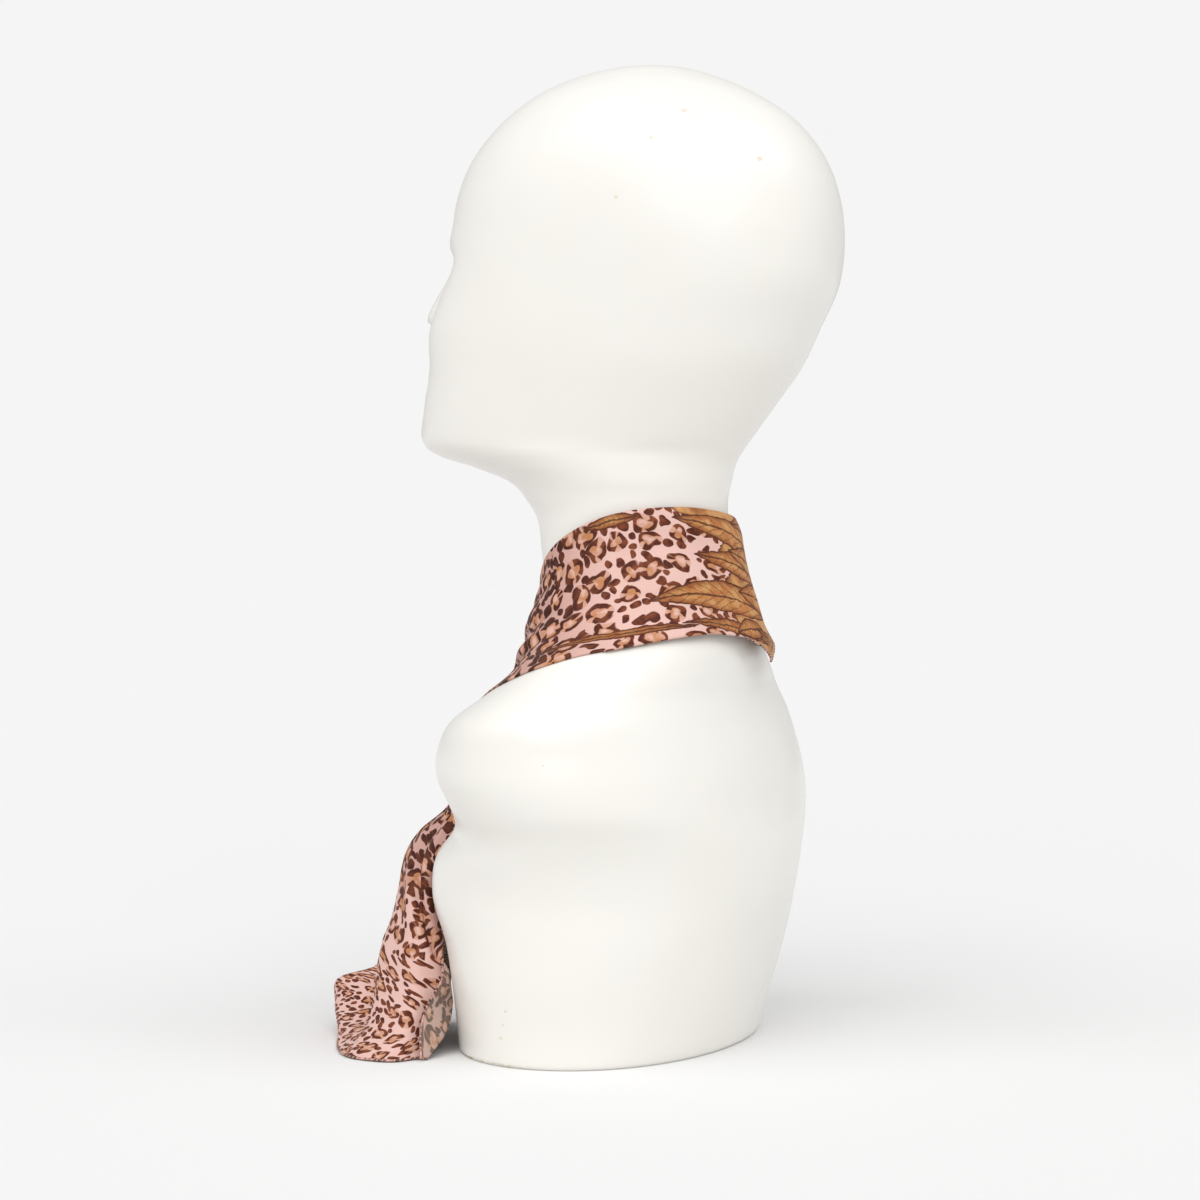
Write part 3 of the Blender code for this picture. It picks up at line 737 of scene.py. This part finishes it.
# Soft folds along the band: where they lie across it and how far they drift, how deep they are,
# their half width as a share of the band, and the turns where they begin, peak and end.
BAND_FOLDS = (
    (0.42, 0.0, 3.8, 0.28, 2, 46, 100),
    (0.62, 0.0, 3, 0.26, 156, 198, 240),
    (0.3, 0.1, 2, 0.1, -30, 24, 70),
    (0.62, -0.08, 2, 0.11, 0, 22, 66),
    (0.46, 0.05, -1.8, 0.09, 0, 30, 90),
    (0.82, 0.04, -1.8, 0.08, 10, 50, 110),
    (0.55, 0.12, 1.6, 0.13, 96, 140, 190),
    (0.78, -0.1, -1.4, 0.12, 110, 160, 205),
    (0.34, 0.1, 3, 0.11, 270, 338, 365),
    (0.66, -0.06, 3.4, 0.1, 262, 332, 365),
    (0.5, 0.05, -2.6, 0.09, 268, 335, 365),
    (0.24, 0.16, 1.6, 0.12, 196, 240, 290),
    (0.52, 0.05, -1.8, 0.028, 12, 48, 92),
    (0.64, 0.02, 1.7, 0.026, 10, 44, 84),
    (0.74, -0.02, -1.8, 0.026, 14, 50, 88),
    (0.14, 0.06, 1.5, 0.03, -30, 26, 78),
    (0.24, 0.08, -1.8, 0.028, -30, 30, 92),
    (0.37, 0.1, 1.8, 0.03, -30, 24, 70),
    (0.5, -0.04, 1.5, 0.026, -30, 28, 84),
    (0.57, -0.1, -1.8, 0.028, -30, 26, 74),
    (0.7, -0.12, 2, 0.03, -30, 30, 86),
    (0.8, -0.1, -1.5, 0.028, -30, 24, 64),
    (0.88, -0.06, 1, 0.026, -30, 28, 96),
    (0.6, 0.2, 0.7, 0.05, 70, 112, 168),
    (0.3, -0.12, -0.6, 0.05, 88, 128, 180),
    (0.86, -0.1, 0.8, 0.04, 120, 165, 198),
    (0.16, 0.06, 1.2, 0.028, 278, 336, 366),
    (0.28, 0.08, -1.3, 0.028, 266, 332, 366),
    (0.42, 0.1, 1.2, 0.03, 286, 338, 366),
    (0.58, -0.06, -1.2, 0.028, 280, 334, 366),
    (0.74, -0.1, 1.4, 0.03, 270, 330, 366),
    (0.86, -0.06, -1, 0.026, 284, 336, 366),
)
# The band's mesh: rows to a row of its table, and points across each.
BAND_STEPS = 10
BAND_ACROSS = 64
EDGE_UNITS = (1, MM, MM, 1, MM, MM)
BAND_ROWS = smooth_rows(BAND_EDGES, BAND_STEPS) * EDGE_UNITS
NAPE_ROW = int(np.argmin(np.abs(BAND_ROWS[:, 0] - 180)))


def fold_offset(across, turn):
    """How far the folds push the band out at places across it, at one turn round the neck."""
    total = np.zeros_like(across)
    for at, drift, depth, width, begin, peak, end in BAND_FOLDS:
        if not begin < turn < end:
            continue
        rise = (turn - begin) / (peak - begin) if turn < peak else (end - turn) / (end - peak)
        swell = math.sin(min(1, rise) * math.pi / 2) ** 2
        middle = at + drift * (turn - peak) / (end - begin)
        total = total + depth * MM * swell * bell(across - middle, width)
    return total


# The band's top edge is a fold: how tightly it turns over, and how far it goes down inside.
TOP_FOLD_RADIUS = 0.0012
TOP_FOLD_DEPTH = 0.006
TOP_FOLD_STEPS = 7
LEAST_OFF = 0.0011
# The least room between its inner layer and the bust.
FOLD_ROOM = 0.0006
# How much further the band stands off where it meets the knot, and over how many of its rows.
KNOT_LIFT = 0.006
KNOT_LIFT_REACH = 0.8
# The top edge leans in at the nape: how far, the ramp across the band, and about which turn.
NAPE_LEAN = 0.0026
NAPE_LEAN_RAMP = (0.14, -0.14)
NAPE_LEAN_TURN = 185
NAPE_LEAN_REACH = 60
# The lower edge settles left on the chest: the ramp across the band, up to which turn, how fully.
SETTLE_RAMP = (0.76, 0.24)
SETTLE_TURN = 100
SETTLE_SHARE = 0.9


def band_grid():
    """The band as rows across it, each from inside its top fold over to its lower edge."""
    grid = []
    shares = np.linspace(0, 1, BAND_ACROSS)
    bends = np.linspace(math.pi, 0, TOP_FOLD_STEPS)
    for i, row in enumerate(BAND_ROWS):
        from_end = min(i, len(BAND_ROWS) - 1 - i)
        lifted = KNOT_LIFT * float(bell(from_end, KNOT_LIFT_REACH * BAND_STEPS))
        top_turn, top_height, top_off, low_turn, low_height, low_off = row
        folds = fold_offset(shares, (top_turn + low_turn) / 2)
        turns = top_turn + (low_turn - top_turn) * shares
        heights = top_height - TOP_FOLD_RADIUS + (low_height - top_height + TOP_FOLD_RADIUS) * shares
        leaning = NAPE_LEAN * float(bell(top_turn - NAPE_LEAN_TURN, NAPE_LEAN_REACH))
        leaning = leaning * ramp(shares, *NAPE_LEAN_RAMP) ** 2
        settling = SETTLE_SHARE * float(low_turn < SETTLE_TURN)
        settling = settling * ramp(shares, *SETTLE_RAMP) ** 2
        offs = top_off + (low_off - top_off) * shares + folds - leaning
        offs = np.maximum(offs + (LEAST_OFF - offs) * settling, LEAST_OFF) + lifted
        radius = min(TOP_FOLD_RADIUS, (offs[0] - FOLD_ROOM) / 2)
        line = [(top_turn, heights[0] - TOP_FOLD_DEPTH, offs[0] - 2 * radius)]
        for bend in bends[:-1]:
            height = heights[0] + radius * math.sin(bend)
            line.append((top_turn, height, offs[0] - radius + radius * math.cos(bend)))
        line += list(zip(turns, heights, offs))
        grid.append([form_point(math.radians(turn), height, off) for turn, height, off in line])
    return np.array(grid)


# The left end, level by level from the knot to the table. Each place is how far it lies out from
# the axis towards a bearing, how far aside from that line, and its height.
END_BEARING = math.radians(26)
LEFT_END = {
    "knot": (
        (85, -8, 157), (86, -8, 157), (89, -8.5, 157), (92, -11, 157), (94, -15, 157),
        (94.5, -20, 157), (94, -23, 157), (93, -26, 157), (90, -28.5, 157), (87, -29, 157),
        (84.5, -29, 157),
    ),
    "below_knot": (
        (84, 2, 130), (86, 1, 131), (88.5, -1, 132), (89, -5, 133), (91.5, -12, 133),
        (93, -19, 133), (92.5, -24, 133), (91.5, -28, 133), (90, -32, 132), (86, -33, 131),
        (83, -33, 130),
    ),
    "shoulder": (
        (90, -2, 113), (90.8, 2, 114), (94.8, 3, 115), (99.8, 1, 116), (105.8, -6, 116),
        (110.8, -15, 116), (110.6, -20, 116), (108.8, -24, 116), (102.8, -30, 115),
        (94.8, -32, 114), (90, -33, 113),
    ),
    "breast": (
        (92.8, -4, 99), (97.8, 5, 100), (103.3, 10, 101), (108.8, 8, 102), (114.8, 0, 102),
        (119.6, -11, 102), (119.4, -17, 102), (117.8, -22, 102), (109.8, -30, 101),
        (99.8, -33, 100), (89.8, -34, 99),
    ),
    "under_breast": (
        (95.4, -3, 82), (100.4, 8, 83), (106.4, 14, 84), (112.4, 12.5, 85), (118.4, 4, 85),
        (122.9, -8, 85), (122.4, -15, 85), (120.9, -20, 85), (112.4, -29, 84), (101.4, -33, 83),
        (91.4, -34, 82),
    ),
    "waist": (
        (94.8, 8, 66), (98.8, 18, 67), (105.8, 24, 68), (113.8, 21.5, 68), (120.8, 11, 68),
        (126.6, -4, 68), (126.3, -12, 68), (124.8, -18, 68), (115.8, -28, 67), (102.8, -33, 66),
        (91.8, -34, 65),
    ),
    "flare": (
        (95.4, 30, 51), (95.9, 33, 51), (103.4, 34, 52), (113.4, 31, 53), (123.4, 18, 53),
        (131.9, 0, 53), (131.9, -8, 53), (130.4, -15, 53), (119.4, -27, 52), (105.4, -33, 51),
        (92.4, -35, 50),
    ),
    "corner_top": (
        (94.9, 46, 40), (89.4, 38, 39), (99.4, 38, 40), (111.4, 42, 40), (125.4, 26, 41),
        (134.4, 7, 41), (127.5, -7, 40), (136.8, -15, 38.5), (129.4, -28, 34), (109.4, -34, 37),
        (93.4, -36, 38),
    ),
    "toe": (
        (102, 62, 28), (89, 44, 26), (99, 50, 27), (112, 57, 27), (126, 45, 28), (134.5, 30, 27.5),
        (123.5, 7, 29), (159, -17, 30.5), (145, -36, 20), (115, -40, 21), (95, -38, 25),
    ),
    "toe_low": (
        (105, 74, 16), (91.5, 58, 13), (101, 63, 14), (115, 72, 13), (128.5, 65, 14),
        (136.5, 50, 14.5), (128.5, 27, 18), (159.2, -12, 18), (155, -33, 11), (120, -43, 10),
        (97, -41, 13),
    ),
    "table": (
        (104.5, 80.5, 1.6), (101, 76.5, 1.2), (107, 76, 1.2), (119, 84, 1.2), (132, 81, 1.2),
        (145, 71.5, 1.2), (152, 54, 1.2), (156.2, 20, 1.2), (155, -29, 1.2), (125, -46, 1.2),
        (99, -43, 1.2),
    ),
}
# The right end, from the knot to its tip. Each place is how far it lies to the left, how far it
# stands off the front of the bust, and its height.
RIGHT_END = {
    "knot": ((6, 6, 156), (2, 12, 156), (-3, 8, 156)),
    "below_knot": ((-2, 4.5, 130), (-12, 12, 131), (-25, 5, 130)),
    "breast": ((-4, 4.5, 105), (-19, 11, 106), (-38, 4.5, 105)),
    "under_breast": ((-6, 5, 80), (-24, 11, 80), (-47, 6, 78)),
    "waist": ((-12, 8, 56), (-28, 13, 55), (-48, 10, 52)),
    "corner": ((-25, 12, 34), (-31, 13.5, 33), (-40, 13, 30)),
    "tip": ((-34, 14.5, 19), (-34.5, 15, 18.6), (-35.5, 14.5, 18.4)),
}
# Finer rows and columns to a level and to a place of each table.
LEFT_STEPS = (13, 9)
RIGHT_STEPS = (10, 14)
# The column of the left end's grid where the flap behind the front panel begins.
FLAP_FROM = 48
# Creases of the ends, as lines between two places on a grid, each place (down, across) from 0 to 1,
# with how deep they are and their half width.
LEFT_CREASES = (
    (-0.1, 0.16, 0.26, 0.1, -1.4, 0.026),
    (-0.1, 0.3, 0.3, 0.27, 1.4, 0.03),
    (-0.1, 0.42, 0.22, 0.4, -1.4, 0.024),
    (-0.1, 0.58, 0.34, 0.6, 1.5, 0.03),
    (-0.1, 0.72, 0.26, 0.74, -1.4, 0.024),
    (-0.1, 0.86, 0.3, 0.9, 1.2, 0.028),
    (0.22, 0.38, 0.52, 0.2, -3.4, 0.034),
    (0.2, 0.46, 0.5, 0.31, 1.8, 0.028),
    (0.36, 0.22, 0.7, 0.11, -3.6, 0.024),
    (0.02, 0.3, 0.34, 0.42, -1.4, 0.03),
    (0.45, 0.45, 0.7, 0.47, 1.2, 0.03),
    (0.62, 0.53, 0.86, 0.54, -2.6, 0.022),
    (0.84, 0.54, 0.97, 0.7, -2.2, 0.03),
    (0.69, 0.22, 0.72, 0.46, -1.2, 0.022),
    (0.76, 0.26, 0.96, 0.34, 1.2, 0.04),
    (0.72, 0.6, 0.9, 0.62, -1.4, 0.03),
    (0.8, 0.56, 0.98, 0.58, 1.4, 0.024),
)
RIGHT_CREASES = (
    (-0.1, 0.3, 0.44, 0.2, -2.6, 0.05),
    (-0.1, 0.52, 0.6, 0.46, 3, 0.07),
    (-0.1, 0.72, 0.4, 0.8, -1.5, 0.05),
    (0.3, 0.66, 0.86, 0.6, -3, 0.08),
    (0.46, 0.28, 0.92, 0.4, 2.6, 0.09),
)


# How much of its length a crease takes in as its end, and how blunt its ends are.
CREASE_END = 0.02
CREASE_BLUNT = 0.5
# How far the ends stay off the bust and above the table.
FORM_GAP = 0.0012
TABLE_GAP = 0.0009


def pushed(grid, creases):
    """The grid moved along its normals by soft creases."""
    rows, columns = grid.shape[:2]
    normal = np.cross(np.gradient(grid, axis=1), np.gradient(grid, axis=0))
    normal /= np.linalg.norm(normal, axis=2)[:, :, None]
    down, across = np.meshgrid(np.linspace(0, 1, rows), np.linspace(0, 1, columns), indexing="ij")
    total = np.zeros((rows, columns))
    for down_a, across_a, down_b, across_b, depth, width in creases:
        line = np.array([down_b - down_a, across_b - across_a])
        share = ((down - down_a) * line[0] + (across - across_a) * line[1]) / (line @ line)
        held = np.clip(share, 0, 1)
        gap = np.hypot(down - down_a - held * line[0], across - across_a - held * line[1])
        swell = np.sin(np.clip(share, CREASE_END, 1 - CREASE_END) * math.pi) ** CREASE_BLUNT
        total += depth * MM * bell(gap, width) * swell
    return grid + normal * total[:, :, None]


def settled(grid):
    """The grid's points kept off the bust and off the table."""
    flat = [clear_of_form(p, FORM_GAP) for p in grid.reshape(-1, 3)]
    made = np.array(flat).reshape(grid.shape)
    made[:, :, 2] = np.maximum(made[:, :, 2], TABLE_GAP)
    return made


def left_end_grid():
    table = smooth_grid(list(LEFT_END.values()), *LEFT_STEPS) * MM
    forward = table[:, :, 0] * math.cos(END_BEARING) - table[:, :, 1] * math.sin(END_BEARING)
    left = table[:, :, 0] * math.sin(END_BEARING) + table[:, :, 1] * math.cos(END_BEARING)
    grid = np.stack([left, -forward, table[:, :, 2]], axis=2)
    return settled(pushed(grid, LEFT_CREASES))


def right_end_grid():
    made = []
    for line in smooth_grid(list(RIGHT_END.values()), *RIGHT_STEPS) * MM:
        row = []
        for aside, off, height in line:
            section = section_at(height)
            inside = 1 - (abs(aside) / section[3]) ** section[4]
            forward = section[1] + section[2] * inside ** (1 / section[4]) + off
            row.append((aside, -forward, height))
        made.append(row)
    return settled(pushed(np.array(made), RIGHT_CREASES))


KNOT_MIDDLE = (0.0165, 0.0895, 0.163)
KNOT_HALF = (0.02, 0.0105, 0.0155)
KNOT_AROUND = 120
KNOT_DOWN = 80
# How square the knot is, and its size inside the wrap as a share of KNOT_HALF.
KNOT_POWER = 2.4
KNOT_CORE = 0.83
# The wrap across the knot: its slant, half width, the softness of its edge and how proud it is.
WRAP_SLANT = (0.94, 0.0, 0.34)
WRAP_HALF = 0.5
WRAP_SOFT = 0.03
WRAP_RISE = 0.15
# The groove beside the wrap: where it lies, its half width and depth.
GROOVE_AT = 0.57
GROOVE_HALF = 0.06
GROOVE_DEPTH = 0.03
# How deep the pleats are on the wrap and beside it.
KNOT_PLEAT = 0.024


def build_knot(material):
    """The tied knot: a soft lump, with pleats, and the turn of cloth that wraps over it proud."""
    points, places = [], []
    for i in range(KNOT_DOWN + 1):
        tilt = math.pi * (0.004 + 0.992 * i / KNOT_DOWN)
        for j in range(KNOT_AROUND):
            turn = math.pi + 2 * math.pi * j / KNOT_AROUND
            level = math.sin(tilt)
            away = np.array([level * math.sin(turn), -level * math.cos(turn), math.cos(tilt)])
            size = float(np.sum(np.abs(away) ** KNOT_POWER) ** (1 / KNOT_POWER))
            slant = float(away @ WRAP_SLANT)
            wrap = 1 / (1 + math.exp((abs(slant) - WRAP_HALF) / WRAP_SOFT))
            proud = KNOT_CORE + WRAP_RISE * wrap
            proud -= GROOVE_DEPTH * bell(abs(slant) - GROOVE_AT, GROOVE_HALF)
            on_wrap = math.sin(slant * 24 + 1.3 * math.sin(slant * 5) + away[2])
            beside_it = math.sin(away[2] * 21 + away[0] * 5)
            proud += KNOT_PLEAT * (on_wrap * wrap + beside_it * (1 - wrap))
            spot = np.array(KNOT_HALF) * away / size * proud
            points.append(spot + (KNOT_MIDDLE[0], -KNOT_MIDDLE[1], KNOT_MIDDLE[2]))
            places.append((0.4 + turn * 0.017 + tilt * 0.006, tilt * 0.02))
    made = mesh_object("tied_knot", points, tube_faces(KNOT_DOWN + 1, KNOT_AROUND), [material])
    lay_map(made, places)
    mesh = bmesh.new()
    mesh.from_mesh(made.data)
    bmesh.ops.recalc_face_normals(mesh, faces=mesh.faces)
    mesh.to_mesh(made.data)
    mesh.free()
    return made


HEM_RADIUS = 0.00065
HEM_AROUND = 10
# A direction that no hem runs along, and how far the map goes round a hem.
HEM_ASKEW = (0.13, 0.21, 0.97)
HEM_ROUND = 0.004
# Stitches to a metre, how far they slant, and how much of the thread's colour shows.
STITCHES_TO_METRE = 310.0
STITCH_SLANT = 0.5
THREAD_SHARE = 0.7
HEM_ROUGHNESS = 0.6


def rolled_hem(name, line, material):
    """A rolled edge: a thin tube along a line of points, with its map in metres for the stitches."""
    line = np.array(line)
    ahead = np.gradient(line, axis=0)
    ahead /= np.linalg.norm(ahead, axis=1)[:, None]
    side = np.cross(ahead, HEM_ASKEW)
    side /= np.linalg.norm(side, axis=1)[:, None]
    over = np.cross(ahead, side)
    run = np.concatenate([[0], np.cumsum(np.linalg.norm(np.diff(line, axis=0), axis=1))])
    points, places = [], []
    for at, s, o, far in zip(line, side, over, run):
        for j in range(HEM_AROUND):
            turn = 2 * math.pi * j / HEM_AROUND
            points.append(at + (s * math.cos(turn) + o * math.sin(turn)) * HEM_RADIUS)
            places.append((far, j / HEM_AROUND * HEM_ROUND))
    made = mesh_object(name, points, tube_faces(len(line), HEM_AROUND), [material])
    lay_map(made, places)
    return made


def hem_material():
    """The rolled hem: brown cloth with slanting stitches of pale thread."""
    made, g, shader = new_material("rolled_hem")
    place = g.node("ShaderNodeUVMap", uv_map=CLOTH_MAP).outputs[0]
    flat = g.parts(place)
    slant = g.scaled(flat[1], STITCH_SLANT, flat[0])
    stitch = g.math("FRACT", g.times(slant, STITCHES_TO_METRE))
    thread = g.step(g.size(g.less(stitch, 0.5)), 0.16, 0.09)
    patch = g.noise(place, 180.0)
    cloth = g.mix(g.step(patch, 0.44, 0.6), HEM_BROWN, HEM_PINK)
    colour = g.mix(g.times(thread, THREAD_SHARE), cloth, THREAD_PALE)
    g.fill(shader, {"Base Color": colour, "Roughness": HEM_ROUGHNESS})
    return made


# The camera stands at a bearing from the front towards the left, and looks at a point near the axis.
CAMERA_BEARING = math.radians(116)
CAMERA_DISTANCE = 1.6
CAMERA_HEIGHT = 0.29
AIM_HEIGHT = 0.2534
AIM_ASIDE = -0.0055
CAMERA_LENS = 82.78
CAMERA_SENSOR = 36


def beside_camera(right, up, near):
    """A place given as right of, above and nearer to the camera than the axis."""
    back = Vector((math.sin(CAMERA_BEARING), -math.cos(CAMERA_BEARING), 0))
    across = Vector((math.cos(CAMERA_BEARING), math.sin(CAMERA_BEARING), 0))
    return back * near + across * right + Vector((0, 0, up))


def add_camera():
    data = bpy.data.cameras.new("camera")
    made = placed("camera", data)
    data.lens = CAMERA_LENS
    data.sensor_width = CAMERA_SENSOR
    made.location = beside_camera(AIM_ASIDE, CAMERA_HEIGHT, CAMERA_DISTANCE)
    aim = beside_camera(AIM_ASIDE, AIM_HEIGHT, 0)
    made.rotation_mode = "QUATERNION"
    made.rotation_quaternion = (aim - made.location).to_track_quat("-Z", "Y")
    bpy.context.scene.camera = made


# What the camera sees behind the floor, and how much of it lights the object.
SURROUND = 0.913
SURROUND_LIGHT = 0.56
FLOOR_GREY = 0.835
FLOOR_REACH = 12.0
# Soft lights far off: name, where they shine from, as degrees right of the camera and above the
# floor, strength, and width in degrees.
LIGHTS = (
    ("key_left", -60, 55, 0.58, 40),
    ("key_right", 60, 55, 0.58, 40),
    ("fill", -4, 38, 1.2, 60),
)


def add_stage():
    """A plain pale floor and surround, and soft lights from above on both sides and from the front."""
    paper = bpy.data.materials.new("pale_paper")
    paper.use_nodes = True
    g = Graph(paper.node_tree)
    g.tree.nodes.clear()
    matte = g.node("ShaderNodeBsdfDiffuse", {"Color": (FLOOR_GREY, FLOOR_GREY, FLOOR_GREY, 1)})
    g.node("ShaderNodeOutputMaterial", {"Surface": matte.outputs[0]})
    corners = [(x * FLOOR_REACH, y * FLOOR_REACH, 0) for x, y in ((-1, -1), (1, -1), (1, 1), (-1, 1))]
    floor = mesh_object("floor", corners, [(0, 1, 2, 3)], [paper])

    world = bpy.data.worlds.new("surround")
    bpy.context.scene.world = world
    world.use_nodes = True
    g = Graph(world.node_tree)
    seen = g.node("ShaderNodeLightPath").outputs["Is Camera Ray"]
    strength = g.scaled(seen, SURROUND - SURROUND_LIGHT, SURROUND_LIGHT)
    g.fill(world.node_tree.nodes["Background"], {"Color": (1, 1, 1, 1), "Strength": strength})
    bpy.context.scene.view_settings.view_transform = "Standard"

    for name, aside, height, power, width in LIGHTS:
        data = bpy.data.lights.new(name, "SUN")
        data.energy = power
        data.angle = math.radians(width)
        made = placed(name, data)
        bearing = CAMERA_BEARING + math.radians(aside)
        rise = math.radians(height)
        level = math.cos(rise)
        away = Vector((math.sin(bearing) * level, -math.cos(bearing) * level, math.sin(rise)))
        made.rotation_mode = "QUATERNION"
        made.rotation_quaternion = away.to_track_quat("Z", "Y")


# Where the band gathers into the knot, its print lies closer and grows dense, with painted shade on it,
# by ramps of its turns.
GATHER_MORE = 0.55
GATHER_RAMP = (84, -44)
DENSE_AND_SHADE_RAMP = (96, -36)
# How much of its full width the band's print keeps where it narrows.
GATHER_KEPT = 0.8
# Where the band's flat map starts, above its top edge.
BAND_MAP_TOP = -0.008


def build_band(materials):
    """The band, its grid and its flat size. Its flat map is zero at the nape."""
    grid = band_grid()
    turns = BAND_ROWS[:, 0]
    closer = 1 + GATHER_MORE * ramp(turns[1:], *GATHER_RAMP)
    lengths = np.linalg.norm(np.diff(grid, axis=0), axis=2).mean(axis=1) * closer
    start = (float(lengths[:NAPE_ROW].sum()), BAND_MAP_TOP)
    made, flat = cloth_object(
        "foulard_band", grid, start, materials, gather=GATHER_KEPT, even=True,
        closer=closer[:, None], dense_and_shade=ramp(turns, *DENSE_AND_SHADE_RAMP)[:, None],
    )
    return made, grid, flat


# Where the ends lie on the print, and how much smaller the left end's is.
LEFT_START = (1.37, 0.21)
RIGHT_START = (2.2, 0.4)
LEFT_FINER = 1.22
# The left end's print is dense, with painted shade on it, below the knot, over levels of its table, and
# beside its near edge, over places of it. The flap's print lies closer from a level down.
LEFT_DENSE_AND_SHADE_DOWN = (4.6, -1.6, 0.9)
LEFT_DENSE_AND_SHADE_IN = (2.2, -1.0, 0.9)
FLAP_MORE = 1.2
FLAP_RAMP = (5.4, 0.8)


def build_left_end(materials):
    """The left end, its grid and its flat size."""
    grid = left_end_grid()
    down = np.arange(grid.shape[0]) / LEFT_STEPS[0]
    aside = np.arange(grid.shape[1]) / LEFT_STEPS[1]
    dense_and_shade = ramp(down, *LEFT_DENSE_AND_SHADE_DOWN)[:, None] + ramp(aside, *LEFT_DENSE_AND_SHADE_IN)
    closer = 1 + FLAP_MORE * ramp(down[1:], *FLAP_RAMP)
    made, flat = cloth_object(
        "foulard_left_end", grid, LEFT_START, materials, finer=LEFT_FINER, closer=closer[:, None],
        closer_from=FLAP_FROM, dense_and_shade=np.minimum(dense_and_shade, 1),
    )
    return made, grid, flat


def sides(grid):
    """A cloth's first column, last row and last column."""
    return grid[:, 0], grid[-1, :], grid[:, -1]


# The nape's hem, in rows of the band's table before and after the nape.
NAPE_HEM = (-1, 4)


def main():
    leopard = leopard_group()
    right_side = twill("printed_twill", leopard)
    leafy_side = twill("leaf_twill", leopard, leaf=leaf_group())
    wrong_side = twill("wrong_side_twill", leopard, wrong_side=True)
    hem = hem_material()

    bust = build_form(lacquer())
    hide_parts("bust_form")

    band, band_points, band_flat = build_band([leafy_side, wrong_side])
    plain = [right_side, wrong_side]
    left, left_points, left_flat = build_left_end(plain)
    right_points = right_end_grid()
    right, right_flat = cloth_object("foulard_right_end", right_points, RIGHT_START, plain)
    knot = build_knot(right_side)

    tip_from, tip_to = (NAPE_ROW + rows * BAND_STEPS for rows in NAPE_HEM)
    left_hems = ("left_near_hem", "left_low_hem", "left_far_hem")
    right_hems = ("right_inner_hem", "right_low_hem", "right_outer_hem")
    hems = {
        "foulard_band": [("nape_hem", band_points[tip_from:tip_to, -1])],
        "foulard_left_end": zip(left_hems, sides(left_points)),
        "foulard_right_end": zip(right_hems, sides(right_points)),
    }
    sewn = {name: [rolled_hem(*row, hem) for row in rows] for name, rows in hems.items()}
    for piece, node, flat, held in (
        (band, "neck_wrap", band_flat, "folded"),
        (left, "left_tail", left_flat, "hung"),
        (right, "right_tail", right_flat, "hung"),
    ):
        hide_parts(node)
        extra = list(sewn[piece.name]) + ([knot] if piece == band else [])
    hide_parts("knot")
    for piece in [bust, band, left, right, knot] + sum(sewn.values(), []):
        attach(piece, "root")

    add_stage()
    add_camera()


main()
